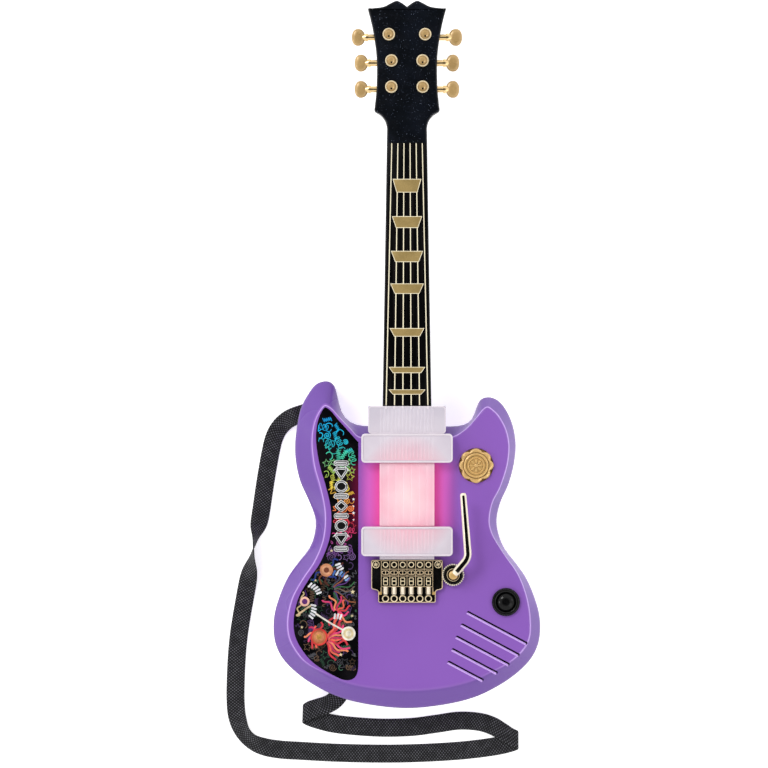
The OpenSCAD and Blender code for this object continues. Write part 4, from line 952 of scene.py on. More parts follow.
@dataclass
class Body:
    """The two purple shells, with the loudspeaker's slots, the label's recess and the battery bay."""

    # roll is how far in the rim turns over; each slot is its middle and its length
    outline: Outline = field(default_factory=Outline)
    face_z: float = FACE_Z
    seam_z: float = 22.0
    wall: float = 2.5
    roll: float = 2.2
    label_x: float = -42.5
    label_sink: float = 0.5
    speaker: tuple[float, float] = (61.0, -251.0)
    slot_tilt: float = -28.0
    slot_w: float = 2.6
    slots: tuple = ((79, -238.5, 57.4), (73, -249, 55.6), (66.4, -258.5, 50.8), (59.4, -267.7, 43.1),
                    (51.4, -276.4, 33.4))

    def label_outline(self, margin: float) -> np.ndarray:
        """The label's outline: along the rim's inner edge from station 2 to 26, then up a straight line."""
        first, last = (n * self.outline.steps for n in (2, 26))
        edge = self.outline.level(0.6 + margin, 1.0)[first:last + 1]
        edge = edge[edge[:, 0] < self.label_x - margin]
        low = edge[edge[:, 0] < -56]
        t = np.linspace(0, 1, 12)[:, None]
        x = self.label_x - margin
        corner, end = np.array([x, -287.5 + margin]), np.array([x, -271 + margin])
        bend = quadratic(low[-1], corner, end, t)
        top = np.array([[x, -76 - margin]])
        return np.vstack([top, low, bend[1:]])

    def rim_edge(self) -> tuple:
        """Where the rim meets the face: the moved edge, its reach, and how crisp it is there.

        Beside the label the edge lies up to 4.2 mm outside the CAD's, and comes back to it at the
        horn's tip and below y = -268. Along the tail the crisp edge gives way to a soft one.
        """
        line = self.outline
        y = line.edge[:, 1]
        left = 1 / (1 + np.exp((line.edge[:, 0] + 48) / 2.0))
        top, low = np.clip((-42 - y) / 60, 0, 1), np.clip((y + 284) / 22, 0, 1)
        out = 4.2 * left * top ** 0.6 * low * low * (3 - 2 * low)
        crisp = np.clip((y + 283) / 24, 0, 1)
        return out, crisp * crisp * (3 - 2 * crisp)

    def front_rings(self) -> np.ndarray:
        """The front shell's rings, from its ceiling down the inside and up the outside to the face.

        The rim turns in from the wall on a quadratic curve and is then a straight slope. It meets
        the flat face in a soft minimum of the two heights, -k log(e^(-a/k) + e^(-b/k)), with a low
        bead and a shallow groove along it where the edge is crisp.
        """
        line = self.outline
        out, crisp = self.rim_edge()
        reach = line.reach - out
        rings = [flat_ring(line.level(3.2, 1.0), 41.5), flat_ring(line.level(self.wall, 0.85), 40.8),
                 flat_ring(line.level(self.wall, 0.1), 29.6), flat_ring(line.level(self.wall), 27.5),
                 flat_ring(line.level(self.wall), self.seam_z), flat_ring(line.level(0.5), self.seam_z),
                 flat_ring(line.level(0.15), 22.12), flat_ring(line.level(0), 22.5)]

        def slope(depth: np.ndarray) -> np.ndarray:
            """The rim's height, depth millimetres in from the wall."""
            return 29.7 + 14.87 * depth / reach

        for t in np.linspace(0, 1, 8):
            depth = self.roll * t * t
            z = quadratic(28.2, 29.8, slope(self.roll), t)
            rings.append(flat_ring(line.level(depth), z))
        for t in np.linspace(0, 1, 8)[1:]:
            depth = self.roll * (1 - t) + (reach - 3.2) * t
            rings.append(flat_ring(line.level(depth), slope(depth)))
        k = 0.3 + 0.6 * (1 - crisp)
        near = (-2.4, -1.8, -1.4, -1.1, -0.85, -0.6, -0.4, -0.2, 0.0, 0.2, 0.4, 0.6, 0.8, 1.0, 1.3)
        for d in near + tuple(1.3 + 0.1 * i for i in (1, 2, 3)):
            depth = reach + np.where(d > 1.3, 1.3 + (d - 1.3) * (1 + 6 * (1 - crisp)), d)
            z = -k * np.log(np.exp(-slope(depth) / k) + np.exp(-44.02 / k))
            z = z + crisp * (0.24 * np.exp(-((d + 0.2) / 0.5) ** 2) - 0.16 * np.exp(-((d - 0.75) / 0.25) ** 2))
            rings.append(flat_ring(line.level(depth), z))
        rings.append(flat_ring(line.level(reach + 1.7 + 2.4 * (1 - crisp)), self.face_z))
        return np.stack(rings)

    def speaker_cutters(self) -> list:
        """The loudspeaker's five slots, each a bar with round ends."""
        cuts = []
        for x, y, length in self.slots:
            half = self.slot_w / 2
            bar = box(-length / 2 - 1.2, length / 2 + 1.2, -half, half, half - 0.01)
            cuts.append(stack(bar, [(0, 38), (0, 46)]).turned(self.slot_tilt).moved(x, y))
        return cuts

    def slot_flanks(self) -> Shape:
        """The lower side of each slot: a narrow lip, then a ramp, z = 44 - (v + 1.3), with v across the slot; both
        paler, a painted highlight.
        """
        ramps = []
        for x, y, length in self.slots:
            ramp = stack(box(-length / 2 - 1.1, length / 2 + 0.2, -1.3, -0.2, 0.45), [(0, 40.5), (0, 44.03)])
            top = ramp.points[:, 2] > 43
            ramp.points[top, 2] -= ramp.points[top, 1] + 1.3
            lip = strip([(-length / 2 - 0.9, -1.5), (length / 2 + 0.4, -1.5)], 0.42, 43.8, 44.07)
            ramps += [part.turned(self.slot_tilt).moved(x, y) for part in (ramp, lip)]
        return joined(ramps)

    def build_front(self) -> None:
        """Makes the front shell and takes its holes out of it."""
        piece = put("front_shell", grid(self.front_rings()), 30)
        below, above = 40.0, 46.0
        cuts = [stack(self.label_outline(0), [(0, self.face_z - self.label_sink), (0, above)])]
        cuts += self.speaker_cutters()
        strum = stack(box(-20, 20, -145, -98), [(0, below), (0, above)])
        neck_screws = stack(box(-19.3, 19.3, -78, -58), [(0, 21), (0, 41.5)])
        holes = [stack(oval(*spot, r, r), [(0, below), (0, above)])
                 for spot, r in ((DOME, 10.3), (SEAL, 15.2), (WHAMMY, 3.6))]
        for tool in cuts + [strum, neck_screws] + holes:
            cut(piece, tool, sharp=30)
        self.mark_edges(piece)
        settle(piece, "body", instead_of=("body_front",))
        # Painted highlight: the slots' lips and ramps take the pale highlight colour
        place("speaker_slot_flanks", self.slot_flanks(), "painted lip highlight")

    def mark_edges(self, piece: bpy.types.Object) -> None:
        """Writes "edge", 1 on the rim's bead, a painted highlight, and "turn", 1 at the outermost corner, a
        painted shade; both fade with distance.
        """
        mesh = piece.data
        points = np.zeros(len(mesh.vertices) * 3)
        mesh.vertices.foreach_get("co", points)
        points = points.reshape(-1, 3) / MM
        out, crisp = self.rim_edge()
        # Painted highlight: "edge" is 1 along the rim's bead
        bead_line = self.outline.level(self.outline.reach - out - 0.25)
        gaps = np.linalg.norm(points[:, None, :2] - bead_line[None], axis=2)
        nearest = gaps.argmin(1)
        share = np.clip(1 - gaps.min(1) / 0.75, 0, 1) * (points[:, 2] > 40) * crisp[nearest]
        mesh.attributes.new("edge", "FLOAT", "POINT").data.foreach_set("value", share)
        # Painted shade: "turn" is 1 at the rim's outer corner, where shade falls
        from_wall = np.linalg.norm(points[:, None, :2] - self.outline.wall[None], axis=2).min(1)
        turned = np.clip(1.1 - from_wall / 0.9, 0, 1) * np.clip((points[:, 2] - 27.8) / 1.0, 0, 1)
        mesh.attributes.new("turn", "FLOAT", "POINT").data.foreach_set("value", turned)

    def build(self) -> None:
        """Makes the front shell, dresses the back one, and makes the label."""
        self.build_front()
        FINISH.dress(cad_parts["body_back"], "purple")
        film = stack(self.label_outline(0.12), [(0, self.face_z - self.label_sink), (0, 43.88)])
        place("label_film", film, "label", instead_of=("graphic_label",))
        Artwork(self.label_outline(1.4)).build()


# ---------------------------------------------------------------- label artwork
# The rainbow's colours by y, in millimetres
INK_ROW = ((-50, rgb(20, 150, 235)), (-72, rgb(30, 190, 225)), (-88, rgb(60, 195, 160)),
           (-102, rgb(170, 205, 90)), (-116, rgb(240, 205, 70)), (-130, rgb(240, 140, 70)),
           (-144, rgb(230, 60, 70)), (-158, rgb(215, 60, 130)), (-170, rgb(125, 75, 150)),
           (-184, rgb(90, 85, 110)))


def inside(points: np.ndarray, outline: np.ndarray) -> np.ndarray:
    """Which points lie in an outline: a ray to +X crosses its sides an odd number of times."""
    x, y = points[:, 0, None], points[:, 1, None]
    a, b = outline, np.roll(outline, -1, 0)
    across = (a[:, 1] > y) != (b[:, 1] > y)
    gap = np.where(b[:, 1] == a[:, 1], 1e-9, b[:, 1] - a[:, 1])
    return (across & (x < (b[:, 0] - a[:, 0]) * (y - a[:, 1]) / gap + a[:, 0])).sum(1) % 2 == 1


@dataclass
class Artwork:
    """The label's print: scribbles that run through the rainbow, and below them discs, stars and ribbons."""

    outline: np.ndarray
    top_z: float = 43.9
    seed: int = 7
    pitch: float = 6.4
    dim_below: float = -178.0

    def __post_init__(self) -> None:
        """Starts the seeded chance and an empty sheet."""
        self.chance = np.random.default_rng(self.seed)
        self.parts: list = []

    def colour_at(self, y: float) -> Colour:
        """The rainbow's colour at height y, with a little chance in its brightness."""
        rows = sorted(INK_ROW)
        ys = [r[0] for r in rows]
        bright = 0.75 + 0.5 * self.chance.random()
        return tuple(min(1.0, float(np.interp(y, ys, [r[1][k] for r in rows])) * bright) for k in range(3))

    def next_z(self) -> float:
        """Each mark lies a hair above the last one, so that no two faces share a plane."""
        return self.top_z + 0.0004 * len(self.parts)

    def line(self, path: np.ndarray, half: float, colour: Colour) -> None:
        """Adds a line of print where the whole of it is on the label."""
        if inside(path, self.outline).all():
            self.parts.append(strip(path, half, 43.86, self.next_z()).coloured(colour))

    def cut_line(self, path: np.ndarray, half: float, colour: Colour, least: int) -> None:
        """Adds a line as far as it stays on the label, if more than least of its points do."""
        keep = np.cumprod(inside(path, self.outline)).astype(bool)
        if keep.sum() > least:
            self.line(path[keep], half, colour)

    def patch(self, outline: np.ndarray, colour: Colour) -> None:
        """Adds a filled patch where the whole of it is on the label."""
        if inside(outline, self.outline).all():
            self.parts.append(stack(outline, [(0, 43.86), (0, self.next_z())]).coloured(colour))

    def scribble(self, x: float, y: float, size: float) -> np.ndarray:
        """One of six doodles about a point: a coil, a saw, a wave, a loop row, a spiral or a star outline."""
        kind = self.chance.integers(6)
        t = np.linspace(0, 1, 26)
        if kind == 0:
            p = np.column_stack([t * 2 - 1 + 0.35 * np.cos(t * 19), 0.55 * np.sin(t * 19)])
        elif kind == 1:
            p = np.column_stack([t * 2 - 1, 0.6 * (np.abs((t * 9) % 2 - 1) * 2 - 1)])
        elif kind == 2:
            p = np.column_stack([t * 2 - 1, 0.5 * np.sin(t * 14) * (1 - t * 0.4)])
        elif kind == 3:
            p = np.column_stack([np.cos(t * 4.1), 0.8 * np.sin(t * 4.1)]) * (0.55 + 0.35 * t[:, None])
        elif kind == 4:
            p = np.column_stack([t * np.cos(t * 14), t * np.sin(t * 14)]) * 0.8
        else:
            a = np.arange(11) * 2 * math.pi / 10 + math.pi / 2
            r = np.where(np.arange(11) % 2 == 0, 0.9, 0.4)
            p = np.column_stack([r * np.cos(a), r * np.sin(a)])
        turn = self.chance.uniform(0, 2 * math.pi)
        c, s = math.cos(turn), math.sin(turn)
        return p @ np.array([[c, s], [-s, c]]) * size + np.array([x, y])

    def doodles(self) -> None:
        """Thin scribbles on a jittered lattice, close together at the top and dim below."""
        dims = [rgb(120, 190, 150), rgb(150, 110, 190), rgb(190, 150, 120), rgb(150, 150, 160)]
        for row, y in enumerate(np.arange(-50, -284, -self.pitch)):
            for x in np.arange(-99 + self.pitch / 2 * (row % 2), -43, self.pitch):
                at = self.chance.uniform(-1.5, 1.5, 2)
                size = self.chance.uniform(2.9, 5.0)
                half = self.chance.uniform(0.28, 0.42)
                colour = self.colour_at(y)
                if y < self.dim_below:
                    shade = dims[int(self.chance.integers(4))]
                    dim = self.chance.uniform(0.06, 0.3)
                    colour = tuple(c * dim for c in shade)
                self.cut_line(self.scribble(x + at[0], y + at[1], size), half, colour, 5)

    def outlined(self, ring: np.ndarray) -> None:
        """A black shape with two white lines along its edge, one inside the other."""
        self.patch(ring, rgb(8, 8, 9))
        for inset in (0.0, 1.35):
            edge = ring + normals(ring) * inset
            self.line(np.vstack([edge, edge[:2]]), 0.33, rgb(240, 240, 242))

    def pick_column(self) -> None:
        """A column of outlined plectrums, discs, bars and diamonds, one above another."""
        turn = np.arange(28) * 2 * math.pi / 28
        disc = np.column_stack([5.4 * np.cos(turn), 5.0 * np.sin(turn)])
        pick = rounded(np.array([(0, -6.0), (6.0, 2.8), (4.2, 4.8), (-4.2, 4.8), (-6.0, 2.8)]), 1.9, 5)
        diamond = rounded(np.array([(0, -5.4), (5.8, 0), (0, 5.4), (-5.8, 0)]), 1.8, 5)
        bar = box(-6.2, 6.2, -2.1, 2.1, 1.9, 6)
        y = -91.5
        for ring in (bar, pick, disc, bar, diamond, bar, disc, pick, bar):
            room = 3 if ring is bar else 6
            y -= room
            self.outlined(ring + np.array([-57.5, y]))
            y -= room - 0.4
        for x, y, r in ((-46.8, -126, 1.5), (-46.8, -132, 1.0), (-46.8, -138, 1.5), (-46.8, -144, 1.0)):
            self.star(x, y, r, rgb(236, 236, 238))

    def disc(self, x: float, y: float, r: float, colours: list) -> None:
        """A record-like disc: rings of colour, each a filled circle on the last."""
        for k, colour in enumerate(colours):
            part = r * (1 - k / len(colours)) ** 0.8
            self.patch(oval(x, y, part, part, 30), colour)

    def capsules(self, x: float, y: float, turn: float, count: int, colours: list) -> None:
        """A fan of short round-ended bars."""
        for k in range(count):
            bar = box(-2.6, 2.6, -0.85, 0.85, 0.8, 4)
            a = math.radians(turn + 7 * k)
            c, s = math.cos(a), math.sin(a)
            spot = np.array([x - s * 2.6 * k, y + c * 2.6 * k])
            self.patch(bar @ np.array([[c, s], [-s, c]]) + spot, colours[k % len(colours)])

    def streamers(self, x: float, y: float, count: int, reach: float, spread: tuple, half: float,
                  colours: list) -> None:
        """Curling ribbons that leave a point: a heading plus a wave that grows along each."""
        t = np.linspace(0.12, 1, 22)
        for k in range(count):
            a = math.radians(spread[0] + (spread[1] - spread[0]) * k / max(1, count - 1))
            long = reach * self.chance.uniform(0.7, 1.1)
            wave = self.chance.uniform(1.4, 3.2) * np.sin(t * self.chance.uniform(6, 10)) * t
            px = x + long * t * math.cos(a) - wave * math.sin(a)
            py = y + long * t * math.sin(a) + wave * math.cos(a)
            self.cut_line(np.column_stack([px, py]), half, colours[k % len(colours)], 4)

    def star(self, x: float, y: float, r: float, colour: Colour) -> None:
        """A filled five-pointed star."""
        a = np.arange(10) * 2 * math.pi / 10 + math.pi / 2
        radius = np.where(np.arange(10) % 2 == 0, r, r * 0.42)
        self.patch(np.column_stack([x + radius * np.cos(a), y + radius * np.sin(a)]), colour)

    def lower_half(self) -> None:
        """Discs, fans, ribbons, a big round note and stars, in the label's lower colours."""
        warm = [rgb(214, 60, 72), rgb(236, 104, 84), rgb(200, 52, 96), rgb(240, 140, 100), rgb(226, 70, 120)]
        mixed = [rgb(60, 110, 70), rgb(96, 60, 130), rgb(150, 90, 60), rgb(70, 76, 96), rgb(120, 100, 90)]
        white = [rgb(238, 238, 240), rgb(222, 222, 228)]
        blue = [rgb(120, 160, 214), rgb(226, 232, 240), rgb(70, 110, 180)]
        self.streamers(-71, -187, 9, 17, (150, 400), 0.7, [rgb(112, 62, 40), rgb(84, 44, 34), rgb(44, 60, 130)])
        self.disc(-70.5, -188, 7.2, [rgb(92, 48, 34), rgb(206, 138, 100), rgb(226, 164, 126), rgb(120, 66, 46)])
        self.capsules(-52, -196, 30, 6, blue)
        self.capsules(-60.5, -183, 200, 3, white)
        self.streamers(-66, -205, 9, 24, (-60, 60), 0.45, mixed)
        self.streamers(-92, -215, 8, 13, (60, 250), 0.6, [rgb(64, 34, 92), rgb(196, 176, 130), rgb(96, 46, 110)])
        self.disc(-89.5, -215.5, 7.4, [rgb(60, 30, 74), rgb(232, 172, 150), rgb(240, 188, 166), rgb(96, 46, 110)])
        self.capsules(-77, -208, 20, 5, white)
        self.capsules(-84, -229, -40, 5, white)
        self.line(np.array([(-97.0, -228.0), (-88.0, -221.5), (-84.0, -219.0)]), 0.8, rgb(214, 186, 148))
        self.streamers(-62, -225, 10, 15, (-120, 130), 0.75, warm)
        self.streamers(-71, -249, 12, 23, (-70, 60), 0.85, warm)
        self.streamers(-76, -246, 7, 13, (90, 250), 0.8, warm)
        self.disc(-77, -246.5, 7.6, [rgb(216, 66, 60), rgb(196, 112, 74), rgb(214, 138, 96), rgb(230, 170, 90)])
        self.line(np.array([(-80.0, -226.0), (-66.0, -235.0), (-54.0, -241.5)]), 0.75, rgb(238, 232, 220))
        self.disc(-51.2, -243.5, 6.2, [rgb(244, 238, 222), rgb(226, 206, 160), rgb(240, 232, 210)])
        self.capsules(-58, -229, 70, 3, white)
        for x, y, r in ((-97, -209, 1.6), (-47.5, -207, 2.2), (-58, -262, 1.8), (-92, -238, 1.5),
                        (-66, -171, 1.6), (-48, -228, 1.5), (-86, -262, 1.4), (-80, -197, 1.3)):
            self.star(x, y, r, rgb(232, 214, 170))

    def build(self) -> None:
        """Prints the marks in order and joins them as one layer of ink."""
        self.doodles()
        self.pick_column()
        self.lower_half()
        place("label_ink", self.parts, "inks")


# ---------------------------------------------------------------- light covers and strum plate
@dataclass
class LightCovers:
    """The block at the neck's foot, the two pickups, the strum plate and the strip below."""

    half: float = 40.0
    block_half: float = 34.0
    block: tuple[float, float] = (-68.6, -44.4)
    upper: tuple[float, float] = (-93.9, -68.5)
    lower: tuple[float, float] = (-175.5, -149.7)
    strum: tuple[float, float] = (-149.3, -94.3)
    strum_half: float = 23.8

    def outline(self, span: tuple) -> np.ndarray:
        """A pickup's outline."""
        return box(-self.half, self.half, *span, 3.5, 10)

    def pickup(self, span: tuple) -> Shape:
        """A cover with a raised round edge, a groove inside it, and a flat field."""
        return stack(self.outline(span),
                     [(0, FACE_Z), (0, 53.2), (0.15, 53.7), (0.5, 54.0), (1.2, 54.0), (1.5, 53.85), (1.8, 53.65),
                      (2.1, 53.6), (2.4, 53.66)])

    def fins(self, reach: float, y0: float, y1: float, z: float, pitch: float, r: float) -> list:
        """Fine half-round ribs along Y, one every pitch from -reach to reach."""
        a = np.linspace(0, math.pi, 5)
        section = np.column_stack([r * np.cos(a), r * 0.24 * np.sin(a)])
        ends = np.array([[0, y0, z], [0, y0 + 0.6, z], [0, y1 - 0.6, z], [0, y1, z]])
        one = swept(ends, np.vstack([section, [[-r, -0.4], [r, -0.4]]]), np.array([0.4, 1, 1, 0.4]))
        return [one.moved(x) for x in np.arange(-reach, reach + 0.01, pitch)]

    def build(self) -> None:
        """Makes the covers as separate mouldings, each with its ribs and its edge line, the edge lines and string
        nubs paler as a painted highlight and the grooves darker as painted shade.
        """
        block_line = box(-self.block_half, self.block_half, *self.block, 3, 8)
        block = stack(block_line, [(0, FACE_Z), (0, 51.2), (0.2, 51.7), (0.6, 52), (1.4, 52)])
        cheeks = [stack(box(x0, x1, -61.7, self.block[1], 0.4), [(0, 31), (0, 44.2)])
                  for x0, x1 in ((-34, -22.2), (22.2, 34))]
        foot = stack(box(-self.strum_half, self.strum_half, -178.5, -174.5, 0.6),
                     [(0, FACE_Z), (0, 49.8), (0.2, 50)])
        lines = [self.outline(span) for span in (self.upper, self.lower)]
        rails = [bead(line, 0.15, 1.5, 53.5, 54.25) for line in lines]
        rails.append(bead(block_line, 0.1, 1.0, 51.6, 52.15))
        grooves = [bead(line, 1.75, 0.5, 53.3, 53.68) for line in lines]
        rows = ((22.4, -67.6, -46, 52.0, 3.2, 1.0),
                (22.4, self.lower[0] + 3, self.lower[1] - 3, 53.66, 3.2, 0.9),
                (22.4, self.upper[0] + 3, self.upper[1] - 3, 53.66, 3.2, 0.8),
                (21.6, -178.2, -175.6, 50.0, 2.4, 0.6))
        ribs = [rib for row in rows for rib in self.fins(*row)]
        nubs = [plate(oval(x, -45.6, 1.2, 1.5, 20), 51.9, 52.5, 0.35) for x in (np.arange(6) - 2.5) * 7.3]
        for name, shapes, finish, stood in (
                ("upper_light_cover_body", [self.pickup(self.upper)] + cheeks, "frosted", ("upper_light_cover",)),
                ("neck_block", block, "frosted", ()),
                ("lower_light_cover_body", [self.pickup(self.lower), foot], "frosted", ("lower_light_cover",)),
                ("cover_edge_highlights", rails, "cover edge", ()), ("cover_grooves", grooves, "cover groove", ()),
                ("cover_ribs", ribs, "ribbed", ()), ("string_nubs", nubs, "cover edge", ())):
            place(name, shapes, finish, instead_of=stood)
        self.build_strum()

    def build_strum(self) -> None:
        """The strum plate: seven broad ribs between two pale rails, with its keel.

        Across X the top is z = top - 0.3 |cos(pi (x + half) / pitch)|^24, which leaves narrow grooves.
        """
        y0, y1 = self.strum
        pitch = 2 * self.strum_half / 7
        x = np.linspace(-self.strum_half, self.strum_half, 183)
        z = 51.0 - 0.3 * np.abs(np.cos(math.pi * (x + self.strum_half) / pitch)) ** 24
        z[0] = z[-1] = 50.4
        ring = np.vstack([np.column_stack([x, z]), [[self.strum_half, 46.0], [-self.strum_half, 46.0]]])
        steps = [(y0, 0.5), (y0 + 0.4, 0.15), (y0 + 1, 0), (y1 - 1, 0), (y1 - 0.4, 0.15), (y1, 0.5)]
        rings = np.stack([
            np.column_stack([ring[:, 0], np.full(len(ring), y), ring[:, 1] - d * (ring[:, 1] > 47)])
            for y, d in steps])
        keel = stack(box(-4, 4, y0 + 1, y1 - 1, 0.5), [(0, 41), (0, 46.4)])
        place("strum_plate_top", [grid(rings), keel], "strip", "strum",
              instead_of=("strum_plate",))
        rails = [strip([(s * 23.1, y0 + 0.8), (s * 23.1, y1 - 0.8)], 0.8, 50.3, 51.35) for s in (-1, 1)]
        place("strum_plate_rails", rails, "strip rail", "strum")


# ---------------------------------------------------------------- bridge
@dataclass
class Bridge:
    """Black bridge plate with raised gold outlines, rings, rollers, saddles and barrels."""

    top_y: float = -178.9
    half: float = 31.3
    foot_half: float = 25.2
    face_z: float = FACE_Z
    gap: float = 7.5
    plate_z: float = 47.0
    field_z: float = 50.0
    foot_row: float = 33.9
    screw_x: float = 27.2

    def outline(self) -> np.ndarray:
        """A broad plate with a narrower foot, with small round corners, anticlockwise."""
        t = self.top_y
        corners = np.array([(self.half, t - 25.5), (self.half, t), (-self.half, t), (-self.half, t - 25.5),
                            (-self.foot_half, t - 27), (-self.foot_half, t - 37.5), (self.foot_half, t - 37.5),
                            (self.foot_half, t - 27)])
        return rounded(corners, 1.8)

    @property
    def foot_y(self) -> float:
        """Middle of the row of rings at the foot."""
        return self.top_y - self.foot_row

    def build(self) -> None:
        """Makes the black parts, then the gold ones."""
        t, xs = self.top_y, (np.arange(6) - 2.5) * self.gap
        black = [plate(self.outline(), self.face_z, self.plate_z, 0.4),
                 plate(box(-22.5, 22.5, t - 23.5, t - 0.3, 0.4), 46.8, self.field_z, 0.3)]
        walls = [bead(self.outline(), 0.1, 0.65, 46.4, 47.5)]
        walls += [strip([(x, t - 0.4), (x, t - 23.4)], 0.18, 49.6, 50.4) for x in (np.arange(7) - 3) * self.gap]
        walls += [strip([(-22.8, y), (22.8, y)], 0.18, 49.6, 50.4) for y in (t - 0.6, t - 8.0, t - 14.0, t - 23.3)]
        walls += [strip([(x, t - 29.5), (x, t - 24)], 0.35, 46.8, 47.6) for x in (-22.6, 22.6)]
        rings, rollers, saddles, barrels, slots = [], [], [], [], []
        for x in xs:
            rings.append(bead(oval(x, t - 4.1, 2.55, 2.55, 32), 0, 0.75, 49.9, 51.0))
            rings.append(bead(oval(x, self.foot_y, 3.1, 3.1, 36), 0, 0.95, 46.9, 48.2))
            black.append(plate(oval(x, self.foot_y, 2.4, 2.4, 32), 46.9, 47.5, 0.3))
            rollers.append(bead(box(x - 3.2, x + 3.2, t - 12.7, t - 9.3, 1.5), 0, 0.45, 49.8, 50.9))
            rollers.append(strip([(x, t - 12.4), (x, t - 9.6)], 0.22, 49.8, 50.8))
            saddles.append(bead(box(x - 2.05, x + 2.05, t - 22.1, t - 15.3, 0.8), 0, 0.62, 49.8, 51.4))
            saddles.append(strip([(x - 1.7, t - 18.4), (x + 1.7, t - 18.4)], 0.4, 49.8, 51.4))
            ends = np.array([(30.2, 0.72), (29.9, 0.92), (29.2, 1), (24.2, 1), (23.6, 0.9), (23.4, 0.7)])
            barrels.append(swept(np.array([[x, t - d, 48.6] for d in ends[:, 0]]), circle(2.15, 28), ends[:, 1]))
            # Painted shade: two dark lines down the sides of each barrel
            slots += [strip([(x + dx, t - 29.6), (x + dx, t - 24.2)], 0.26, 49.2, 50.35) for dx in (-1.5, 1.5)]
        place("bridge_plate", black, "black print", instead_of=("bridge",))
        tabs = [plate(box(x - 1.3, x + 1.3, -209.4, -206.8, 0.5), 46.8, 47.7, 0.3) for x in (-23.4, 23.4)]
        for name, shapes, finish in (("lines", walls, "gold line"), ("rings", rings, "cream gold"),
                                     ("rollers", rollers, "gold line"), ("saddles", saddles, "cream gold"),
                                     ("barrels", barrels, "bright gold"), ("barrel_painted_shade", slots, "gold shade"),
                                     ("tabs", tabs, "matte gold")):
            place(f"bridge_{name}", shapes, finish)
        heads, seats = [], []
        for s in (-1, 1):
            spot = (s * self.screw_x, t - 4)
            heads.append(bead(oval(*spot, 3.3, 3.3, 36), 0, 0.7, self.plate_z, 48.3))
            spoke = plate(box(-0.32, 0.32, -1.9, 1.9, 0.2), 47.5, 48.4, 0.15)
            heads += [spoke.turned(a).moved(*spot) for a in (15, 75, 135)]
            seats.append(plate(oval(*spot, 2.7, 2.7, 32), 46.9, 47.7, 0.2))
        place("bridge_screw_heads", heads, "cream gold", instead_of=("bridge_screws",))
        place("bridge_screw_seats", seats, "black print")


# ---------------------------------------------------------------- whammy bar
@dataclass
class Whammy:
    """The whammy bar: a beaded collar, a hub and a bent arm with a painted reflection along it, a black line."""

    at: tuple[float, float] = WHAMMY
    bend: tuple[float, float] = (12.9, 15.3)
    tip: tuple[float, float] = (8.4, 71.9)
    arm_r: float = 3.5
    taper: float = 0.8
    beads: int = 30
    bead_row_r: float = 9.0

    def build(self) -> None:
        """Makes the collar on the guitar and the bar on its own body."""
        x, y = self.at
        disc = lathe([(9.4, FACE_Z), (9.4, 46.6), (9.0, 47.2), (8.0, 47.4), (7.6, 49.3), (7.2, 49.6),
                      (5.2, 49.6)], x, y)
        place("whammy_collar_disc", disc, "black print", instead_of=("whammy_collar",))
        turn = np.arange(self.beads) * 360 / self.beads
        ball = lathe([(0.4, -0.7), (0.7, -0.4), (0.82, 0), (0.7, 0.4), (0.4, 0.7), (0.06, 0.82)], 0, 0, 10)
        beads = [ball.moved(self.bead_row_r).turned(float(a)).moved(x, y, 47.4) for a in turn]
        place("whammy_collar_beads", beads, "bright gold")
        inner = bead(oval(x, y, 5.6, 5.6), 0, 0.45, 49.4, 50.0)
        place("whammy_collar_line", inner, "cream gold")
        hub = lathe([(3.9, 45.5), (3.9, 55), (3.6, 55.7), (3.0, 56), (1.6, 56.2)], x, y, 48)
        place("whammy_hub", hub, "matte gold", "whammy", instead_of=("whammy_bar",))
        way = rounded_way(np.array([(1.0, 1.0, 56.5), (*self.bend, 59.0), (*self.tip, 60.0)]), 5)
        path = way + np.array([x, y, 0])
        share = np.linspace(0, 1, len(path))
        width = self.arm_r - self.taper * share
        width[-3:] *= np.array([0.93, 0.75, 0.4])
        width[:2] *= np.array([0.75, 0.95])
        place("whammy_arm", swept(path, circle(1.0, 28), width), "bright gold", "whammy")
        # Painted reflection: a black line down the top of the round arm
        line = path[1:-3] + np.array([0, 0, 1]) * (width[1:-3, None] - 0.22)
        place("whammy_arm_painted_reflection", ribbon(line, width[1:-3] * (0.5 - 0.13 * share[1:-3]), 0.7), "black print",
              "whammy")


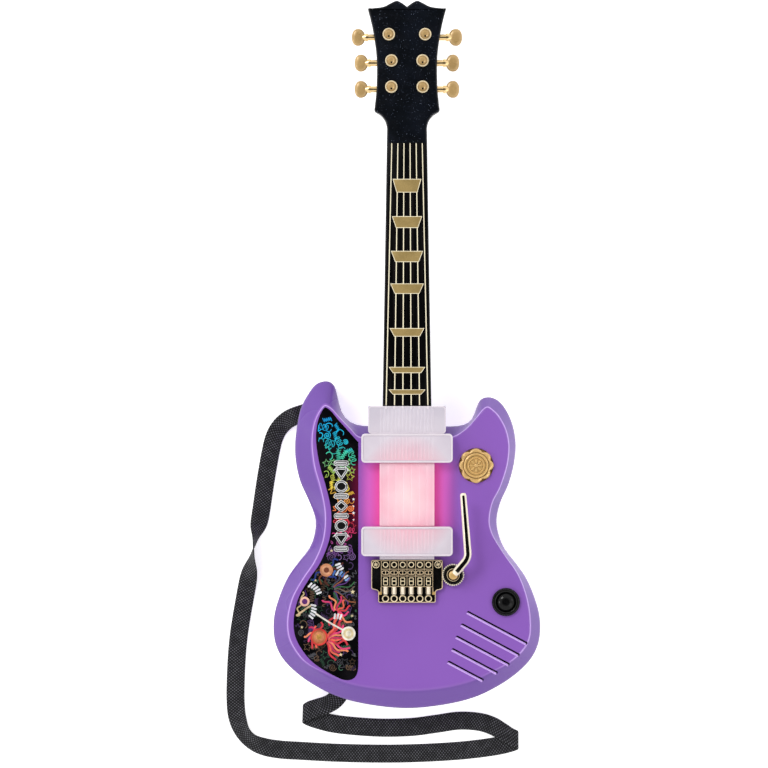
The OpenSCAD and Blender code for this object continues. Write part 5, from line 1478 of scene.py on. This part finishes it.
# ---------------------------------------------------------------- buttons
@dataclass
class Buttons:
    """The lobed gold button and the round black one."""

    seal: tuple[float, float] = SEAL
    seal_r: float = 14.3
    dome: tuple[float, float] = DOME
    stroke: float = 2.0

    def lobed(self) -> np.ndarray:
        """The wavy edge of a wax seal.

        r = mean + 2.3 |cos 4b|^0.85 - 1.4 + 0.3 sin(3a + 40 deg), with b = a + 0.07 sin 2a.
        """
        a = np.arange(192) * 2 * math.pi / 192
        b = a + 0.07 * np.sin(2 * a)
        lobes = 2.3 * np.abs(np.cos(4 * b)) ** 0.85
        r = self.seal_r + lobes - 1.4 + 0.3 * np.sin(3 * a + math.radians(40))
        return np.column_stack([r * np.cos(a), r * np.sin(a)])

    def rosette(self) -> Shape:
        """A plain eight-petalled rosette in relief, made of eight tapered ovals round a boss."""
        petal = plate(oval(3.9, 0, 2.1, 0.95, 24), 46.8, 48.0, 0.4)
        parts = [petal.turned(a) for a in range(0, 360, 45)]
        return joined(parts + [lathe([(1.7, 46.8), (1.6, 48.0), (1.1, 48.3), (0.3, 48.4)], sides=32)])

    def build(self) -> None:
        """Makes both buttons, each on its own body, and the round one's bezel on the guitar.

        The seal is a wavy disc under a round one, whose profile has a rim, a trough and a field.
        """
        x, y = self.seal
        outer = stack(self.lobed(), [(0, 39.7), (0, 45.6), (0.25, 46.4), (0.7, 46.9), (1.2, 47.1), (1.7, 46.8),
                                     (2.1, 46.6)])
        flange = bead(oval(0, 0, 16.7, 16.7), 0, 5.0, 39.7, 41.2)
        medal = lathe([(10.9, 46.0), (10.9, 47.4), (10.6, 48.0), (10.0, 48.3), (9.4, 48.2), (9.0, 47.7),
                       (8.6, 47.1), (7.4, 47.1), (7.1, 47.6), (6.7, 47.8), (6.3, 47.5), (6.0, 47.0)], sides=72)
        cap = put("seal_button_cap", outer.moved(x, y))
        cut(cap, stack(oval(x, y, 11.3, 11.3), [(0, 38), (0, 45.5)]))
        settle(cap, "matte gold", "seal", instead_of=("seal_button",))
        medal = joined([medal, flange, self.rosette()]).moved(x, y)
        place("seal_button_medal", medal, "matte gold", "seal")
        # Painted shade: dark gold-brown rings laid in the seal's grooves
        grooves = [bead(circle(r, sides), 0, width, low, high) for r, sides, width, low, high in (
            (11.45, 72, 0.6, 46.0, 46.95), (8.7, 72, 0.5, 46.6, 47.22), (6.15, 60, 0.3, 46.6, 47.1))]
        place("seal_button_groove_shade", joined(grooves).moved(x, y), "gold shade", "seal")
        x, y = self.dome
        bezel = lathe([(10.0, FACE_Z), (10.0, 42), (8.3, 42), (8.5, 45.6), (9.1, 46.6), (10.0, 47.0),
                       (10.7, 47.0), (11.1, 46.6), (11.2, 45.3), (12.0, 45.2), (12.3, 44.8), (12.3, FACE_Z)],
                      x, y, 96, hollow=True)
        # Painted highlight: the knurl's teeth are paler than the black bezel
        teeth = [plate(box(11.0, 12.2, -0.32, 0.32, 0.15, 3), 44.9, 46.1, 0.25).turned(float(a)).moved(x, y)
                 for a in np.arange(60) * 6]
        place("dome_button_bezel", bezel, "black", instead_of=("dome_bezel",))
        place("dome_button_teeth", teeth, "tooth highlight")
        rise = np.linspace(0.95, 0.02, 12)
        crown = [(8.0 * s, 44.6 + 4.3 * math.sqrt(1 - s * s)) for s in rise]
        cap = lathe([(9.6, 36.5), (9.6, 39.1), (8.0, 39.1), (8.0, 45.2)] + crown, x, y, 72)
        place("dome_button_cap", cap, "gloss black", "dome", instead_of=("dome_button",))
        self.build_pads()

    def build_pads(self) -> None:
        """Makes the silicone pads: a skirted cone with a crown, each with a mesh of its own."""
        for name, spot, foot, crown in (("seal", self.seal, 34.0, 45.5), ("dome", self.dome, 31.1, 36.5)):
            tall = crown - foot
            cone = lathe([(4.6, foot), (4.6, foot + 0.5), (4.2, foot + 0.8), (3.9, foot + 0.4 * tall),
                          (3.2, foot + 0.85 * tall), (3.0, crown - 0.3), (2.7, crown)], *spot, 40)
            pad = place(f"{name}_cone", cone, "silicone", instead_of=(f"{name}_pad",))
            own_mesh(pad)


# ---------------------------------------------------------------- neck and headstock
@dataclass
class Neck:
    """The neck's front half with the headstock's face, its printed fretboard and inlays."""

    foot: float = -44.4
    length: float = 243.0
    half0: float = 21.4
    half1: float = 17.4
    split_z: float = 43.4
    end_y: float = -61.3
    gap_head: float = 5.32
    gap_foot: float = 7.3
    head_side: tuple = (
        (17.4, 0), (18.8, 6), (23, 11.5), (28.2, 14.8), (28, 20), (26.8, 32), (26.3, 45), (26.5, 62), (28.3, 77),
        (30.6, 90), (33.2, 100.5), (34, 104.6), (30, 104.9), (20.5, 106.2), (14, 109.4), (9, 111.4), (4.5, 109.5),
        (0, 106.2))
    # Each inlay: upper y, lower y, half width above and below
    inlays: tuple = ((154.1, 142.3, 12.5, 9.1), (121.5, 111.3, 13.2, 9.6), (91.2, 81.5, 14.0, 10.3),
                     (62.7, 53.8, 14.7, 10.7), (23.7, 16.4, 15.2, 11.2), (-10.2, -15.5, 16.0, 12.3),
                     (-29.9, -34.3, 16.2, 12.3))

    @property
    def head_foot(self) -> float:
        """Where the headstock starts."""
        return self.foot + self.length

    def half_at(self, y: float) -> float:
        """Half the neck's width at y."""
        return self.half0 + (self.half1 - self.half0) * (y - self.foot) / self.length

    def head_outline(self, steps: int = 6) -> np.ndarray:
        """The whole outline of neck and headstock, anticlockwise, mirrored about x = 0."""
        side = smooth_path(np.array(self.head_side, float), steps) + np.array([0, self.head_foot])
        right = np.vstack([[self.half_at(self.end_y), self.end_y], side])
        left = right[:-1][::-1] * np.array([-1, 1])
        return np.vstack([right, left])

    def build(self) -> None:
        """Makes the front moulding with its bevelled edge, dresses the back one, and adds the print."""
        line = self.head_outline()
        body = stack(line, [(0, self.split_z), (0, 48.2), (0.15, 48.7), (0.5, 49.15), (1.1, 49.5), (1.5, 49.6)])
        place("neck_front_half", body, "headstock", instead_of=("neck_front",), sharp=25)
        FINISH.dress(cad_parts["neck_back"], "headstock")
        self.build_print()

    def build_print(self) -> None:
        """The printed sheet with six lines that fan out towards the body, and the foil inlays."""
        y0, y1 = self.foot + 0.2, self.head_foot - 13
        sheet = np.array([(-self.half_at(y0) + 0.9, y0), (self.half_at(y0) - 0.9, y0),
                          (self.half_at(y1) - 0.9, y1), (-self.half_at(y1) + 0.9, y1)])
        place("fretboard_film", stack(sheet, [(0, 49.4), (0, 49.95), (0.1, 50.0)]), "fretboard",
              instead_of=("fretboard_sheet",))
        lines = []
        for k in np.arange(6) - 2.5:
            ends = np.array([(k * self.gap_head, y1 - 0.3), (k * self.gap_foot, y0 + 0.6)])
            lines.append(strip(ends, np.array([0.38, 0.46]), 49.9, 50.12))
        place("fretboard_lines", lines, "cream line")
        plates, edges = [], []
        for upper, lower, wide, narrow in self.inlays:
            shape = np.array([(-narrow, lower), (narrow, lower), (wide, upper), (-wide, upper)], float)
            plates.append(stack(shape, [(0, 49.9), (0, 50.16), (0.15, 50.2)]))
            edges.append(bead(shape, 0.0, 0.5, 50.1, 50.26))
        place("fret_inlays", plates, "inlay")
        place("fret_inlay_edges", edges, "cream line")


@dataclass
class Tuners:
    """Six tuner pegs with egg-shaped knobs, and six round posts on the face."""

    head_foot: float = 198.6
    peg_z: float = 43.4
    peg_y: tuple = (79.7, 57.2, 34.2)
    knob_x: tuple = (42.5, 40.0, 40.0)
    posts: tuple = ((15.9, 82.0), (13.6, 59.0), (13.7, 36.1))
    shaft_r: float = 2.75
    knob_w: float = 11.7
    knob_l: float = 15.0
    knob_t: float = 5.6

    def knob(self) -> Shape:
        """A flattened egg: |x/a|^2.2 + |y/b|^2.2 + |z/c|^2.6 = 1, as rings from pole to pole."""
        up = np.linspace(-math.pi / 2 + 0.06, math.pi / 2 - 0.06, 22)
        turn = np.arange(56) * 2 * math.pi / 56

        def power(v: np.ndarray, p: float) -> np.ndarray:
            """Keeps the sign of v and raises its size to 2/p."""
            return np.sign(v) * np.abs(v) ** (2 / p)

        r, z = power(np.cos(up), 2.6), power(np.sin(up), 2.6) * self.knob_t / 2
        x, y = power(np.cos(turn), 2.2) * self.knob_w / 2, power(np.sin(turn), 2.2) * self.knob_l / 2
        egg = 1 + 0.04 * x / (self.knob_w / 2)
        return grid(np.stack([np.column_stack([x * k, y * k * egg, np.full(len(x), h)]) for k, h in zip(r, z)]))

    def build(self) -> None:
        """Makes each peg on its own body, then the posts."""
        for row in range(3):
            for number, side in ((2 * row + 1, -1), (2 * row + 2, 1)):
                self.build_peg(number, side, self.head_foot + self.peg_y[row], self.knob_x[row])
        self.build_posts()

    def build_peg(self, number: int, side: int, y: float, x: float) -> None:
        """A shaft with a collar and a swell before its knob, and the knob, lying along X."""
        body = f"peg_{number}"
        r = self.shaft_r
        ends = [(14, r), (22, r), (22.1, 3.8), (23.7, 3.8), (23.8, r), (x - 8.4, r), (x - 8.3, 3.5),
                (x - 6.6, 3.6), (x - 5.2, 3.1), (x - 3.5, 2.5)]
        path = np.array([[side * a, y, self.peg_z] for a, _ in ends])
        shaft = swept(path, circle(1.0, 40), np.array([k for _, k in ends]))
        place(f"tuner_shaft_{number}", shaft, "plate", body)
        knob = self.knob()
        knob.points[:, 0] *= side
        place(f"tuner_knob_{number}", knob.moved(side * x, y, self.peg_z), "knob gold", body,
              instead_of=(f"tuner_peg_{number}",), sharp=60)

    def build_posts(self) -> None:
        """Round posts: a bright outer rim, a trough, a gold cap with a string hole towards the neck."""
        rims, caps, holes, shades = [], [], [], []
        for px, py in self.posts:
            for side in (-1, 1):
                x, y = side * px, self.head_foot + py
                shades.append(lathe([(5.9, 49.3), (5.9, 49.68), (5.7, 49.72)], x, y, 48))
                rims.append(lathe([(4.0, 49.4), (4.1, 50.8), (4.2, 51.3), (4.6, 51.6), (5.1, 51.5), (5.4, 51.0),
                                   (5.4, 49.4)], x, y, 64, hollow=True))
                caps.append(lathe([(4.0, 49.4), (4.0, 51.1), (3.6, 51.2), (3.45, 52.2), (3.1, 52.7),
                                   (2.4, 52.85), (2.2, 52.7), (0.8, 52.65)], x, y, 64))
                holes.append(plate(box(x - 0.75, x + 0.75, y - 2.6, y - 1.0, 0.3), 52.4, 52.95, 0.1))
        place("tuner_post_rims", rims, "cream gold", instead_of=("tuner_posts",))
        place("tuner_post_caps", caps, "knob gold")
        place("tuner_post_holes", holes, "black print")
        place("tuner_post_shades", shades, "black")


# ---------------------------------------------------------------- hardware kept from the frame
KEPT = {
    "silicone": ("strum_pads",),
    "board": ("light_board", "seal_board", "dome_board", "main_board"),
    "led": ("light_leds",),
    "steel": ("whammy_shaft", "whammy_spring", "board_screws", "battery_springs", "battery_plates",
              "door_screw", "body_screws", "neck_screws", "heel_screws", "strap_clamps", "strap_screws"),
    "moulded black": ("whammy_lever", "speaker_frame", "power_slider"),
    "parts": ("whammy_switch", "board_parts"),
    "cone": ("speaker_cone",),
    "ferrite": ("speaker_magnet",),
    "cell": ("batteries",),
    "purple": ("battery_door",),
    "pressed steel": ("power_switch",),
    "wire": ("speaker_wires", "battery_wires", "light_wires"),
}


def dress_kept() -> None:
    """Gives each part that stays as modelled in the frame its finish."""
    for finish, nodes in KEPT.items():
        for node in nodes:
            FINISH.dress(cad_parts[node], finish)


def main() -> None:
    """Builds the guitar piece by piece."""
    logging.basicConfig(level=logging.INFO, format="%(message)s")
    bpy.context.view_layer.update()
    for part in (Studio(), Strap(), Body(), LightCovers(), Bridge(), Whammy(), Buttons(), Neck(), Tuners()):
        part.build()
        log.info("%s built", type(part).__name__)
    dress_kept()


if __name__ == "__main__":
    main()
